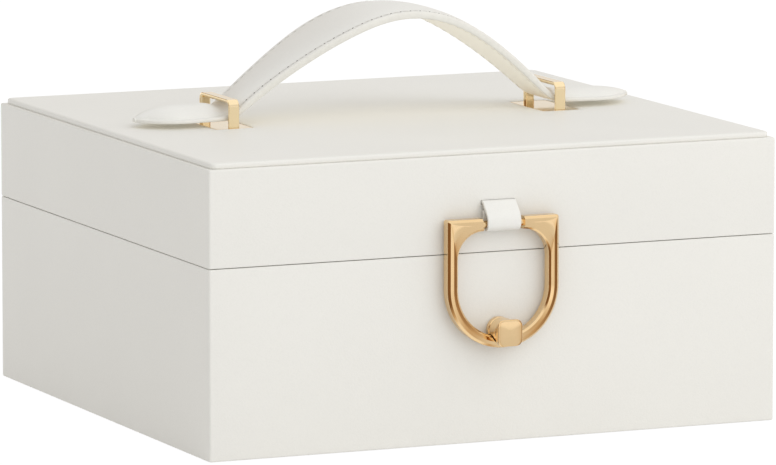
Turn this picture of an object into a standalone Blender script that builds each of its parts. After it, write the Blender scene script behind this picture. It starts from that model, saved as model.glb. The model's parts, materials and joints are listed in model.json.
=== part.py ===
"""Leather-covered jewellery box with a strap handle, a ring latch, a mirror and a lift-out tray.

Metres, +Z up, front towards -Y.  The origin is the centre of the footprint on the underside.
"""
import math

import bmesh
import bpy
from mathutils import Matrix, Vector

MM = 0.001

# ---------------------------------------------------------------- driving dimensions
WIDTH = 280 * MM             # outside, along X
DEPTH = 260 * MM             # outside, along Y
BASE_TOP = 86.7 * MM         # top of the base rim
LID_BOTTOM = 87.3 * MM       # underside of the lid rim
LID_TOP = 131.4 * MM         # top of the lid walls
PAD_TOP = 134.0 * MM         # top of the padded panel
SKIN = 1.0 * MM              # leather covering
BOARD = 7.0 * MM             # fibreboard walls
TOP_BOARD = 6.0 * MM         # fibreboard in the lid top
GAP = 0.3 * MM               # clearance between pieces
LINING = 1.2 * MM            # velvet lining
CLEAR = 1.0 * MM             # how far a cutter runs past the face it opens
SHEET = 1.0 * MM             # felt sheet under the base
SHEET_INSET = 3.0 * MM
WRAP_BOTTOM = 0.4 * MM       # the leather stops just above the underside of the sheet
FLOOR_TOP = 7.3 * MM         # top of the base floor board

HALF_W = WIDTH / 2
HALF_D = DEPTH / 2
WALL_OUT = SKIN + GAP                    # leather to board, from the outside
WALL_IN = WALL_OUT + BOARD               # inner face of the boards, from the outside
CAVITY_X = HALF_W - WALL_IN              # half sizes inside the boards
CAVITY_Y = HALF_D - WALL_IN
BOARD_TOP_BASE = BASE_TOP - SKIN - GAP
BOARD_LOW_LID = LID_BOTTOM + SKIN + GAP
BOARD_TOP_LID = LID_TOP - SKIN - GAP

# padded top panel
PAD_INSET = 2.0 * MM
PAD_CORNER = 6.0 * MM
PAD_ROUND = 1.1 * MM

# handle
HANDLE_X = 1.3 * MM          # the handle is fitted a little right of the middle
LOOP_X = 82.6 * MM           # loop centres, each side of the handle's middle
LOOP_DEPTH = 36.0 * MM       # outside, along Y
LOOP_BAND = 5.2 * MM         # band width, along X
LOOP_THICK = 1.8 * MM
LOOP_TOP = 146.8 * MM
LOOP_FOOT = 134.0 * MM
PLATE = (19.0 * MM, 39.0 * MM, 0.8 * MM)
PLATE_BOTTOM = 132.9 * MM
PLATE_CORNER = 1.5 * MM
STUD_R = 0.8 * MM
STUD_LOW = 120.9 * MM
NUT_R = 2.6 * MM
NUT_ROOM = 3.2 * MM          # height under the top board for the nuts
STRAP_HALF = 15.4 * MM       # half the strap width in the loops
GRIP_HALF = 25.0 * MM        # and in the middle of the broad grip
GRIP_BROAD = 20.0 * MM       # the grip starts to narrow here
GRIP_WAIST = 78.0 * MM       # and has its width in the loops from here
STRAP_TIP = 125.0 * MM       # tail tips, each side of the handle's middle
STRAP_SHOULDER = 104.0 * MM  # where the leaf-shaped tails start to narrow
EDGE_ARCH = 3.5 * MM         # thickness at the stitched edges, over the arch
EDGE_TAIL = 1.6 * MM         # and at the tails
EDGE_FULL = 60.0 * MM        # the edges start to thin out here
CROWN_ARCH = 5.2 * MM        # thickness in the middle of the padded grip
CROWN_LEFT = 7.2 * MM        # and in the middle of the left tail
CROWN_RIGHT = 5.5 * MM       # and of the right tail
TAIL_START = 80.0 * MM       # the padding of the tails builds up from here
TAIL_FULL = 92.0 * MM        # to here
ARCH_APEX = 181.0 * MM       # underside of the strap at the top
ARCH_SPREAD = 55.6 * MM      # how broad the top of the arch is
ARCH_FALL = 1.04             # slope of the sides of the arch
ARCH_LEAN = 3.9 * MM         # the arch leans this far to +X at its top
TAIL_LOW = 134.8 * MM        # underside of the tails
TAIL_RISE = 0.08             # slope of the tails towards the loops
LIFT_LEFT = 1.8 * MM         # the left tail curls up a little
LIFT_RIGHT = 2.6 * MM        # and the right tail more
LIFT_FROM = 74.0 * MM        # the lift starts here
LIFT_TO = 108.0 * MM         # and is complete here
TAIL_SOFT = 1.6 * MM         # how softly the arch runs out into the tails
SWAY_Z = 140.0 * MM          # axis that the strap sways about

# latch
LATCH_X = 0.5 * MM
PIN_OUT = 4.5 * MM           # ring pin axis, in front of the front wall
PIN_Z = 100.4 * MM
PIN_R = 1.6 * MM
PIN_LONG = 28.0 * MM
RING_HALF = 27.5 * MM
RING_TOP = 103.2 * MM
RING_BOTTOM = 44.1 * MM
RING_BAND = 5.1 * MM
RING_ARM = 5.6 * MM          # height of the two arms
RING_THICK = 5.8 * MM
RING_ROUND = 0.9 * MM
RING_ARM_INNER = 10.3 * MM   # the arms end this far from the middle
RING_SHOULDER = 12.6 * MM    # radius of the inner top corners
TAB_HALF = 8.2 * MM
TAB_THICK = 1.4 * MM
TAB_TOP = 110.7 * MM
TAB_BEND = 102.6 * MM        # where the tab turns from its slant to the straight front
TAB_ROOM = 0.3 * MM          # round the pin
TAB_END_THICK = 1.6 * MM     # the two glued layers in the slot
TAB_END_DEEP = 7.6 * MM
KNOB_Z = 51.7 * MM
KNOB_SIDE = 12.2 * MM
KNOB_CORNER = 3.0 * MM
BARREL_R = 6.0 * MM
BARREL_OUT = (0.5 * MM, 11.2 * MM)
HEAD_OUT = (11.5 * MM, 14.1 * MM)
MAGNET_R = 4.3 * MM
MAGNET_LONG = 2.6 * MM
STRIKE_R = 7.0 * MM
STRIKE_THICK = 0.8 * MM

# lid hinges
HINGE_X = 85.0 * MM
HINGE_LONG = 30.0 * MM
HINGE_Y = HALF_D + 2.6 * MM
HINGE_Z = 87.0 * MM
KNUCKLE_R = 2.2 * MM
HINGE_PIN_R = 1.0 * MM
LEAF_THICK = 0.8 * MM
LEAF_REACH = 7.0 * MM
LEAF_RECESS = 0.1 * MM       # leaf faces sit this far inside the rims
SCREW_LONG = 5.0 * MM
SCREW_IN = 4.2 * MM          # screws, in from the back wall

# mirror
MIRROR_HALF = (97.7 * MM, 87.7 * MM)
MIRROR_THICK = 2.2 * MM
FRAME_WIDE = 14.0 * MM
FRAME_THICK = 3.0 * MM

# base fittings and lift-out tray
TRAY_CLEAR = 1.2 * MM
TRAY_BOTTOM = 46.0 * MM
TRAY_TOP = 84.0 * MM
TRAY_WALL = 3.0 * MM
TRAY_FLOOR = 2.4 * MM
TRAY_CROSS_Y = 5.0 * MM      # the long tray divider
TRAY_REAR_X = -40.0 * MM     # the divider behind it
TRAY_FRONT_X = 22.0 * MM     # the divider in front of it, right of the ring rolls
TRAY_DIVIDER = 3.0 * MM      # divider thickness
REST_WIDE = 4.0 * MM         # the ledges that the tray stands on
BASE_DIVIDER = 4.0 * MM
BASE_FRONT_X = 35.0 * MM     # the front divider in the base
DIVIDER_DROP = 2.0 * MM      # dividers end below the rim of their compartment
ROLL_R = 10.6 * MM
ROLL_COUNT = 5
PULL = (1.2 * MM, 14.0 * MM, 22.5 * MM)
PULL_Y = 47.0 * MM

TRAY_X = CAVITY_X - GAP - LINING - TRAY_CLEAR
TRAY_Y = CAVITY_Y - GAP - LINING - TRAY_CLEAR
LINED_X = CAVITY_X - GAP - LINING - GAP
LINED_Y = CAVITY_Y - GAP - LINING - GAP
LINED_FLOOR = FLOOR_TOP + GAP + LINING + GAP
CEILING = BOARD_TOP_LID - TOP_BOARD - NUT_ROOM


# ---------------------------------------------------------------- helpers
def clear_scene():
    for obj in list(bpy.data.objects):
        bpy.data.objects.remove(obj, do_unlink=True)


def material(name, color, roughness, metallic=0.0):
    mat = bpy.data.materials.new(name)
    mat.use_nodes = True
    shader = mat.node_tree.nodes["Principled BSDF"]
    shader.inputs["Base Color"].default_value = (*color, 1.0)
    shader.inputs["Roughness"].default_value = roughness
    shader.inputs["Metallic"].default_value = metallic
    return mat


def empty(name, at, parent=None):
    obj = bpy.data.objects.new(name, None)
    bpy.context.collection.objects.link(obj)
    attach(obj, at, parent)
    return obj


def world_of(obj):
    place = Vector(obj.location)
    while obj.parent:
        obj = obj.parent
        place = place + Vector(obj.location)
    return place


def attach(obj, at, parent):
    obj.parent = parent
    obj.location = Vector(at) - (world_of(parent) if parent else Vector((0, 0, 0)))


def add(name, bm, mat, at, parent=None):
    """Make an object from a bmesh built around the point it is placed at."""
    bmesh.ops.recalc_face_normals(bm, faces=bm.faces)
    mesh = bpy.data.meshes.new(name)
    bm.to_mesh(mesh)
    bm.free()
    mesh.materials.append(mat)
    obj = bpy.data.objects.new(name, mesh)
    bpy.context.collection.objects.link(obj)
    attach(obj, at, parent)
    return obj


def smooth(obj, degrees=35):
    obj.data.shade_smooth()
    obj.data.set_sharp_from_angle(angle=math.radians(degrees))


def cuboid_mesh(size):
    bm = bmesh.new()
    bmesh.ops.create_cube(bm, size=1.0)
    bmesh.ops.scale(bm, vec=size, verts=bm.verts)
    return bm


def cuboid(name, low, high, mat, parent=None):
    low = Vector(low)
    high = Vector(high)
    return add(name, cuboid_mesh(high - low), mat, (low + high) / 2, parent)


def cylinder_mesh(radius, length, axis, sides):
    bm = bmesh.new()
    bmesh.ops.create_cone(bm, cap_ends=True, segments=sides, radius1=radius, radius2=radius, depth=length)
    if axis == "X":
        bmesh.ops.rotate(bm, matrix=Matrix.Rotation(math.pi / 2, 3, "Y"), verts=bm.verts)
    if axis == "Y":
        bmesh.ops.rotate(bm, matrix=Matrix.Rotation(math.pi / 2, 3, "X"), verts=bm.verts)
    return bm


def cylinder(name, at, radius, length, axis, mat, parent=None, sides=24):
    obj = add(name, cylinder_mesh(radius, length, axis, sides), mat, at, parent)
    smooth(obj)
    return obj


def prism_mesh(outline, half, axis="X"):
    """Extrude a 2-D outline from -half to +half along X (points y, z) or Y (x, z) or Z (x, y)."""
    place = {
        "X": lambda a, b, c: (c, a, b),
        "Y": lambda a, b, c: (a, c, b),
        "Z": lambda a, b, c: (a, b, c),
    }[axis]
    bm = bmesh.new()
    ends = [[bm.verts.new(place(a, b, side)) for a, b in outline] for side in (-half, half)]
    bm.faces.new(ends[0])
    bm.faces.new(list(reversed(ends[1])))
    count = len(outline)
    for i in range(count):
        j = (i + 1) % count
        bm.faces.new((ends[0][i], ends[1][i], ends[1][j], ends[0][j]))
    return bm


def band_mesh(outer, inner, half, axis):
    """A plate between two outlines with the same number of points, from -half to +half."""
    place = {
        "X": lambda a, b, c: (c, a, b),
        "Y": lambda a, b, c: (a, c, b),
    }[axis]
    bm = bmesh.new()
    rings = {}
    for key, outline in (("outer", outer), ("inner", inner)):
        for side in (-half, half):
            rings[key, side] = [bm.verts.new(place(a, b, side)) for a, b in outline]
    count = len(outer)
    for i in range(count):
        j = (i + 1) % count
        for side in (-half, half):
            bm.faces.new((rings["outer", side][i], rings["outer", side][j],
                          rings["inner", side][j], rings["inner", side][i]))
        for key in ("outer", "inner"):
            bm.faces.new((rings[key, -half][i], rings[key, -half][j],
                          rings[key, half][j], rings[key, half][i]))
    return bm


def arc(cx, cy, radius, start, end, count):
    """Points of an arc in degrees, both ends included."""
    points = []
    for i in range(count + 1):
        angle = math.radians(start + (end - start) * i / count)
        points.append((cx + radius * math.cos(angle), cy + radius * math.sin(angle)))
    return points


def rounded_rectangle(half_a, half_b, radius, count=4):
    points = []
    for sa, sb, start in ((1, 1, 0), (-1, 1, 90), (-1, -1, 180), (1, -1, 270)):
        points += arc(sa * (half_a - radius), sb * (half_b - radius), radius, start, start + 90, count)
    return points


def hidden(obj):
    obj.hide_render = True
    obj.display_type = "WIRE"
    return obj


def boolean(obj, tool, operation="DIFFERENCE"):
    mod = obj.modifiers.new(operation.lower(), "BOOLEAN")
    mod.operation = operation
    mod.solver = "EXACT"
    mod.object = tool


def bevel(obj, width, segments=2, degrees=40):
    mod = obj.modifiers.new("bevel", "BEVEL")
    mod.width = width
    mod.segments = segments
    mod.limit_method = "ANGLE"
    mod.angle_limit = math.radians(degrees)


# ---------------------------------------------------------------- covers and boards
def skin_box(name, mat, parent, low_z, high_z, closed_top):
    """Leather skin of a box: walls, a turned-in rim at the open side and, on the lid, a top."""
    origin = Vector((0, 0, (low_z + high_z) / 2))
    obj = add(name, cuboid_mesh((WIDTH, DEPTH, high_z - low_z)), mat, origin, parent)
    bevel(obj, 0.8 * MM, 2)
    inner_low = low_z + SKIN if closed_top else low_z - CLEAR
    inner_high = high_z - SKIN
    mouth = (low_z - CLEAR, inner_low + CLEAR) if closed_top else (inner_high - CLEAR, high_z + CLEAR)
    hollow = cuboid(name + "_hollow", (-HALF_W + SKIN, -HALF_D + SKIN, inner_low),
                    (HALF_W - SKIN, HALF_D - SKIN, inner_high), mat, parent)
    boolean(obj, hidden(hollow))
    opening = cuboid(name + "_mouth", (-CAVITY_X, -CAVITY_Y, mouth[0]), (CAVITY_X, CAVITY_Y, mouth[1]),
                     mat, parent)
    boolean(obj, hidden(opening))
    return obj


def wall_boards(prefix, mat, parent, low_z, high_z):
    """Four fibreboard walls: front and back run the full width, the sides fit between them."""
    out_x = HALF_W - WALL_OUT
    out_y = HALF_D - WALL_OUT
    boards = {}
    for side, sign in (("front", -1), ("back", 1)):
        y_pair = sorted((sign * out_y, sign * CAVITY_Y))
        boards[side] = cuboid(prefix + side + "_board", (-out_x, y_pair[0], low_z),
                              (out_x, y_pair[1], high_z), mat, parent)
    for side, sign in (("left", -1), ("right", 1)):
        x_pair = sorted((sign * out_x, sign * CAVITY_X))
        boards[side] = cuboid(prefix + side + "_board", (x_pair[0], -CAVITY_Y + GAP, low_z),
                              (x_pair[1], CAVITY_Y - GAP, high_z), mat, parent)
    return boards


def liner(name, mat, parent, floor_z, rim_z):
    """Velvet lining of a cavity: a floor (or ceiling) sheet at floor_z and walls to rim_z."""
    low = min(floor_z, rim_z)
    high = max(floor_z, rim_z)
    half_x = CAVITY_X - GAP
    half_y = CAVITY_Y - GAP
    obj = cuboid(name, (-half_x, -half_y, low), (half_x, half_y, high), mat, parent)
    opens_up = floor_z < rim_z
    span = (low + LINING, high + CLEAR) if opens_up else (low - CLEAR, high - LINING)
    hollow = cuboid(name + "_hollow", (-half_x + LINING, -half_y + LINING, span[0]),
                    (half_x - LINING, half_y - LINING, span[1]), mat, parent)
    boolean(obj, hidden(hollow))


def base_box(mats):
    """Base covering and boards, the felt sheet under them and the lining inside."""
    wrap = skin_box("base_wrap", mats["leather"], None, WRAP_BOTTOM, BASE_TOP, False)
    boards = wall_boards("base_", mats["board"], None, SHEET + GAP, BOARD_TOP_BASE)
    cuboid("base_floor_board", (-CAVITY_X + GAP, -CAVITY_Y + GAP, SHEET + GAP),
           (CAVITY_X - GAP, CAVITY_Y - GAP, FLOOR_TOP), mats["board"])
    cuboid("bottom_sheet", (-HALF_W + SHEET_INSET, -HALF_D + SHEET_INSET, 0),
           (HALF_W - SHEET_INSET, HALF_D - SHEET_INSET, SHEET), mats["felt"])
    liner("base_lining", mats["velvet"], None, FLOOR_TOP + GAP, BOARD_TOP_BASE)
    return {"wrap": wrap, **boards}


def base_fittings(mats):
    """Ledges that the tray stands on, and the dividers of the lower compartment."""
    velvet = mats["velvet"]
    rest_top = TRAY_BOTTOM - GAP
    for name, side in (("tray_rest_left", -1), ("tray_rest_right", 1)):
        pair = sorted((side * LINED_X, side * (LINED_X - REST_WIDE)))
        cuboid(name, (pair[0], -LINED_Y, LINED_FLOOR), (pair[1], LINED_Y, rest_top), velvet)
    inner_x = LINED_X - REST_WIDE - GAP
    half = BASE_DIVIDER / 2
    top = rest_top - DIVIDER_DROP
    cuboid("base_divider_long", (-inner_x, -half, LINED_FLOOR), (inner_x, half, top), velvet)
    cuboid("base_divider_front", (BASE_FRONT_X - half, -LINED_Y, LINED_FLOOR),
           (BASE_FRONT_X + half, -half - GAP, top), velvet)


def strike_plate(mats, front_board):
    """Steel disc set in the front board behind the leather, which holds the latch magnet."""
    middle = -HALF_D + WALL_OUT + 0.1 * MM + STRIKE_THICK / 2
    at = (LATCH_X, middle, KNOB_Z)
    cylinder("strike_plate", at, STRIKE_R, STRIKE_THICK, "Y", mats["steel"])
    room = STRIKE_THICK + 4 * GAP
    pocket = cylinder("strike_pocket", at, STRIKE_R + GAP, room, "Y", mats["steel"])
    boolean(front_board, hidden(pocket))


def lid_box(mats, pivot):
    """Lid covering and boards, with the lining inside."""
    wrap = skin_box("lid_wrap", mats["leather"], pivot, LID_BOTTOM, LID_TOP, True)
    boards = wall_boards("lid_", mats["board"], pivot, BOARD_LOW_LID, BOARD_TOP_LID)
    top = cuboid("lid_top_board", (-CAVITY_X + GAP, -CAVITY_Y + GAP, BOARD_TOP_LID - TOP_BOARD),
                 (CAVITY_X - GAP, CAVITY_Y - GAP, BOARD_TOP_LID), mats["board"], pivot)
    liner("lid_lining", mats["velvet"], pivot, CEILING, BOARD_LOW_LID)
    return {"wrap": wrap, "top": top, **boards}


def top_pad(mats, pivot):
    """Padded panel on the lid, set in a little from the walls."""
    low = LID_TOP + GAP
    outline = rounded_rectangle(HALF_W - PAD_INSET, HALF_D - PAD_INSET, PAD_CORNER, 5)
    pad = add("top_pad", prism_mesh(outline, (PAD_TOP - low) / 2, "Z"), mats["leather"],
              (0, 0, (PAD_TOP + low) / 2), pivot)
    bevel(pad, PAD_ROUND, 2)
    return pad


def lid_mirror(mats, pivot):
    """Mirror glass in a padded leather frame under the ceiling of the lid."""
    top = CEILING - LINING - GAP
    half_x, half_y = MIRROR_HALF
    frame = cuboid("mirror_frame", (-half_x - FRAME_WIDE, -half_y - FRAME_WIDE, top - FRAME_THICK),
                   (half_x + FRAME_WIDE, half_y + FRAME_WIDE, top), mats["leather"], pivot)
    bevel(frame, 0.8 * MM, 2)
    window = cuboid("mirror_window", (-half_x - GAP, -half_y - GAP, top - FRAME_THICK - CLEAR),
                    (half_x + GAP, half_y + GAP, top + CLEAR), mats["leather"], pivot)
    boolean(frame, hidden(window))
    cuboid("mirror", (-half_x, -half_y, top - MIRROR_THICK), (half_x, half_y, top), mats["glass"], pivot)


# ---------------------------------------------------------------- handle
def smooth_max(a, b, softness):
    return softness * math.log(math.exp(a / softness) + math.exp(b / softness))


def smooth_step(value, start, end):
    t = min(1.0, max(0.0, (value - start) / (end - start)))
    return t * t * (3 - 2 * t)


def strap_underside(u):
    """Height of the strap underside at u, its place along X before the lean."""
    arch = ARCH_APEX - ARCH_FALL * (math.hypot(u, ARCH_SPREAD) - ARCH_SPREAD)
    tail = TAIL_LOW + TAIL_RISE * max(0.0, STRAP_SHOULDER - abs(u))
    tail += LIFT_LEFT * smooth_step(-u, LIFT_FROM, LIFT_TO) + LIFT_RIGHT * smooth_step(u, LIFT_FROM, LIFT_TO)
    return smooth_max(arch, tail, TAIL_SOFT)


def strap_half_width(u):
    """Broad in the grip, narrow in the loops; the tail ends are rounded like a leaf."""
    waist = STRAP_HALF + (GRIP_HALF - STRAP_HALF) * (1 - smooth_step(abs(u), GRIP_BROAD, GRIP_WAIST))
    t = max(0.0, min(1.0, (abs(u) - STRAP_SHOULDER) / (STRAP_TIP - STRAP_SHOULDER)))
    return waist * max(0.10, 1 - t ** 2.2) ** 0.75


def strap_thickness(u):
    """(thickness at the edges, thickness in the middle) at u."""
    edge = EDGE_ARCH + (EDGE_TAIL - EDGE_ARCH) * smooth_step(abs(u), EDGE_FULL, STRAP_SHOULDER)
    crown_tail = CROWN_LEFT if u < 0 else CROWN_RIGHT
    crown = CROWN_ARCH + (crown_tail - CROWN_ARCH) * smooth_step(abs(u), TAIL_START, TAIL_FULL)
    return edge, edge + (crown - edge) * min(1.0, strap_half_width(u) / STRAP_HALF)


def strap_section(u, across):
    """Points round the strap at u: over the domed top from one edge to the other, then the underside."""
    step = 0.05 * MM
    slope = (strap_underside(u + step) - strap_underside(u - step)) / (2 * step)
    normal = Vector((-slope, 0, 1)).normalized()
    low = strap_underside(u)
    lean = ARCH_LEAN * max(0.0, low - SWAY_Z) / (ARCH_APEX - SWAY_Z)
    base = Vector((HANDLE_X + u + lean, 0, low))
    half = strap_half_width(u)
    edge, crown = strap_thickness(u)
    points = []
    for j in range(across + 1):
        v = -1 + 2 * j / across
        thick = edge + (crown - edge) * (1 - v * v) ** 0.8
        points.append(base + normal * thick + Vector((0, half * v, 0)))
    points.append(base + Vector((0, half, 0)))
    points.append(base - Vector((0, half, 0)))
    return points


def handle_strap(mats, pivot):
    stations = 78
    at = world_of(pivot)
    bm = bmesh.new()
    rows = []
    for i in range(stations + 1):
        u = -STRAP_TIP * math.cos(math.pi * i / stations)
        rows.append([bm.verts.new(p - at) for p in strap_section(u, 10)])
    count = len(rows[0])
    for a, b in zip(rows, rows[1:]):
        for j in range(count):
            k = (j + 1) % count
            bm.faces.new((a[j], b[j], b[k], a[k]))
    bm.faces.new(rows[0])
    bm.faces.new(list(reversed(rows[-1])))
    smooth(add("handle_strap", bm, mats["leather"], at, pivot), 50)


def loop_outline(half, low, high, radius):
    """Inverted U: up one leg, over the top bar and down the other leg."""
    points = [(half, low)]
    points += arc(half - radius, high - radius, radius, 0, 90, 5)
    points += arc(-half + radius, high - radius, radius, 90, 180, 5)
    points.append((-half, low))
    return points


def handle_loop(name, x, mat, pivot):
    """Flat-sided metal loop with a stud under each leg."""
    half = LOOP_DEPTH / 2
    outer = loop_outline(half, LOOP_FOOT, LOOP_TOP, 2.6 * MM)
    inner = loop_outline(half - LOOP_THICK, LOOP_FOOT, LOOP_TOP - LOOP_THICK, 0.9 * MM)
    outline = outer + list(reversed(inner))
    loop = add(name, prism_mesh(outline, LOOP_BAND / 2, "X"), mat, (x, 0, 0), pivot)
    bevel(loop, 0.35 * MM, 2, 60)
    stud_high = LOOP_FOOT + 2 * MM
    for side in (-1, 1):
        stud = cylinder("%s_stud_%d" % (name, side + 1),
                        (x, side * (half - LOOP_THICK / 2), (STUD_LOW + stud_high) / 2),
                        STUD_R, stud_high - STUD_LOW, "Z", mat, pivot, 12)
        boolean(loop, hidden(stud), "UNION")


def sunk_plate(name, x, pad, mat, pivot):
    """Thin plate under a loop, in a pocket of the padded panel."""
    long_x, long_y, thick = PLATE
    outline = rounded_rectangle(long_x / 2, long_y / 2, PLATE_CORNER)
    plate = add(name, prism_mesh(outline, thick / 2, "Z"), mat, (x, 0, PLATE_BOTTOM + thick / 2), pivot)
    pocket = cuboid(name + "_pocket", (x - long_x / 2 - GAP, -long_y / 2 - GAP, PLATE_BOTTOM - GAP),
                    (x + long_x / 2 + GAP, long_y / 2 + GAP, PAD_TOP + CLEAR), mat, pivot)
    boolean(pad, hidden(pocket))
    return plate


def loop_fixings(name, x, drilled, mats, pivot):
    """Holes for the two studs of a loop, and the nuts under the top board."""
    nut_low = CEILING + 0.4 * MM
    nut_high = BOARD_TOP_LID - TOP_BOARD - GAP
    hole_low = CEILING - 2 * LINING
    hole_high = PAD_TOP + CLEAR
    for i, side in enumerate((-1, 1)):
        y = side * (LOOP_DEPTH - LOOP_THICK) / 2
        hole = hidden(cylinder("stud_hole_%s_%d" % (name, i), (x, y, (hole_low + hole_high) / 2),
                               STUD_R + GAP, hole_high - hole_low, "Z", mats["gold"], pivot, 12))
        nut = cylinder("loop_nut_%s_%d" % (name, i + 1), (x, y, (nut_low + nut_high) / 2), NUT_R,
                       nut_high - nut_low, "Z", mats["steel"], pivot, 6)
        for obj in drilled + [nut]:
            boolean(obj, hole)


def handle_hardware(mats, lid, pad, pivot):
    for name, side in (("left", -1), ("right", 1)):
        x = HANDLE_X + side * LOOP_X
        handle_loop("loop_" + name, x, mats["gold"], pivot)
        plate = sunk_plate("plate_" + name, x, pad, mats["gold"], pivot)
        loop_fixings(name, x, [plate, pad, lid["wrap"], lid["top"]], mats, pivot)


# ---------------------------------------------------------------- latch
def ring_outline(half, top, corner, centre_z):
    """D shape, clockwise from the top middle; the bottom is a half circle."""
    points = [(0.0, top)]
    points += arc(half - corner, top - corner, corner, 90, 0, 8)
    points += arc(0, centre_z, half, 0, -180, 28)
    points += arc(-half + corner, top - corner, corner, 180, 90, 8)
    return points


def latch_ring(mats, pivot):
    """Ring with square shoulders and a round bottom, open at the top between its two arms."""
    at = world_of(pivot)
    gold = mats["gold"]
    centre_z = RING_BOTTOM + RING_HALF
    outer = ring_outline(RING_HALF, RING_TOP, RING_ROUND, centre_z)
    inner = ring_outline(RING_HALF - RING_BAND, RING_TOP - RING_ARM, RING_SHOULDER, centre_z)
    outer = [(a, b - at.z) for a, b in outer]
    inner = [(a, b - at.z) for a, b in inner]
    ring = add("latch_ring", band_mesh(outer, inner, RING_THICK / 2, "Y"), gold, at, pivot)
    bevel(ring, RING_ROUND, 3, 50)
    gap = cuboid("ring_gap", (at.x - RING_ARM_INNER, at.y - RING_THICK, RING_TOP - 1.6 * RING_ARM),
                 (at.x + RING_ARM_INNER, at.y + RING_THICK, RING_TOP + CLEAR), gold, pivot)
    boolean(ring, hidden(gap))
    bore = cylinder("ring_bore", at, PIN_R + GAP, PIN_LONG + CLEAR, "X", gold, pivot, 16)
    boolean(ring, hidden(bore))
    scoop = cylinder("ring_scoop", (at.x, at.y, KNOB_Z), BARREL_R + GAP, 4 * RING_THICK, "Y", gold, pivot, 32)
    boolean(ring, hidden(scoop))
    cylinder("ring_pin", at, PIN_R, PIN_LONG, "X", gold, pivot, 20)


def latch_knob(mats, pivot):
    """Round barrel with a magnet in its rear face, and the square knob in front of it."""
    x = world_of(pivot).x
    low, high = BARREL_OUT
    barrel = cylinder("latch_barrel", (x, -HALF_D - (low + high) / 2, KNOB_Z), BARREL_R, high - low, "Y",
                      mats["gold"], pivot, 32)
    magnet_y = -HALF_D - low - MAGNET_LONG / 2 - 0.5 * MM
    cylinder("latch_magnet", (x, magnet_y, KNOB_Z), MAGNET_R, MAGNET_LONG, "Y", mats["steel"], pivot)
    seat_long = 2 * (MAGNET_LONG / 2 + GAP + 0.7 * MM)
    seat = cylinder("magnet_seat", (x, magnet_y + 0.7 * MM, KNOB_Z), MAGNET_R + GAP, seat_long, "Y",
                    mats["gold"], pivot)
    boolean(barrel, hidden(seat))
    thick = HEAD_OUT[1] - HEAD_OUT[0]
    outline = rounded_rectangle(KNOB_SIDE / 2, KNOB_SIDE / 2, KNOB_CORNER, 5)
    head = add("latch_knob", prism_mesh(outline, thick / 2, "Y"), mats["gold"],
               (x, -HALF_D - sum(HEAD_OUT) / 2, KNOB_Z), pivot)
    bevel(head, 0.5 * MM, 3)


def tab_section(pin_y, radius, top_out, top_z, bend_z, slant):
    """One side of the folded tab, as (y, z): round the pin, straight up, then slanting in to the slot."""
    points = arc(pin_y, PIN_Z, radius, 0, -180, 12)
    points.append((pin_y - radius, bend_z))
    points.append((pin_y - radius + slant, bend_z + 1.6 * slant))
    points.append((-HALF_D - top_out, top_z))
    points.append((-HALF_D - top_out - 0.2 * MM, top_z - 1.9 * MM))
    return points


def latch_tab(mats, pivot):
    """Leather tab folded round the ring pin, with its top at the slot in the lid front."""
    at = world_of(pivot)
    pin_y = -HALF_D - PIN_OUT
    radius = PIN_R + TAB_ROOM
    outer = tab_section(pin_y, radius + TAB_THICK, 0.4 * MM, TAB_TOP, TAB_BEND, 1.5 * MM)
    inner = tab_section(pin_y, radius, 1.8 * MM, TAB_TOP - 3.6 * MM, TAB_BEND - 0.4 * MM, 0.8 * MM)
    outer = [(a - at.y, b - at.z) for a, b in outer]
    inner = [(a - at.y, b - at.z) for a, b in inner]
    add("latch_tab", band_mesh(outer, inner, TAB_HALF, "X"), mats["leather"], at, pivot)


def tab_anchor(mats, lid, pivot):
    """The end of the tab, glued in a slot through the covering into the front board."""
    high = TAB_TOP - 0.2 * MM
    low = high - TAB_END_THICK
    cuboid("tab_anchor", (LATCH_X - TAB_HALF, -HALF_D + 0.1 * MM, low),
           (LATCH_X + TAB_HALF, -HALF_D + TAB_END_DEEP, high), mats["leather_edge"], pivot)
    slot = hidden(cuboid("tab_slot", (LATCH_X - TAB_HALF - GAP, -HALF_D - CLEAR, low - GAP),
                         (LATCH_X + TAB_HALF + GAP, -HALF_D + TAB_END_DEEP + GAP, high + GAP),
                         mats["leather"], pivot))
    boolean(lid["wrap"], slot)
    boolean(lid["front"], slot)


# ---------------------------------------------------------------- hinges
def hinge_leaf(name, x, plate_z, spans, mat, parent):
    """A leaf: a plate in the rim, with knuckles round the pin over the given spans along X."""
    plate_low = (x - HINGE_LONG / 2, HALF_D - LEAF_REACH, plate_z)
    plate_high = (x + HINGE_LONG / 2, HALF_D - 0.2 * MM, plate_z + LEAF_THICK)
    leaf = cuboid(name, plate_low, plate_high, mat, parent)
    for i, (a, b) in enumerate(spans):
        tongue = cuboid("%s_tongue_%d" % (name, i), (x + a, HALF_D - 1 * MM, plate_z),
                        (x + b, HINGE_Y, plate_z + LEAF_THICK), mat, parent)
        boolean(leaf, hidden(tongue), "UNION")
        knuckle = cylinder("%s_knuckle_%d" % (name, i), (x + (a + b) / 2, HINGE_Y, HINGE_Z), KNUCKLE_R,
                           b - a, "X", mat, parent, 24)
        boolean(leaf, hidden(knuckle), "UNION")
    bore = cylinder(name + "_bore", (x, HINGE_Y, HINGE_Z), HINGE_PIN_R + GAP, HINGE_LONG + 8 * MM, "X",
                    mat, parent, 16)
    boolean(leaf, hidden(bore))
    return leaf


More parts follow.
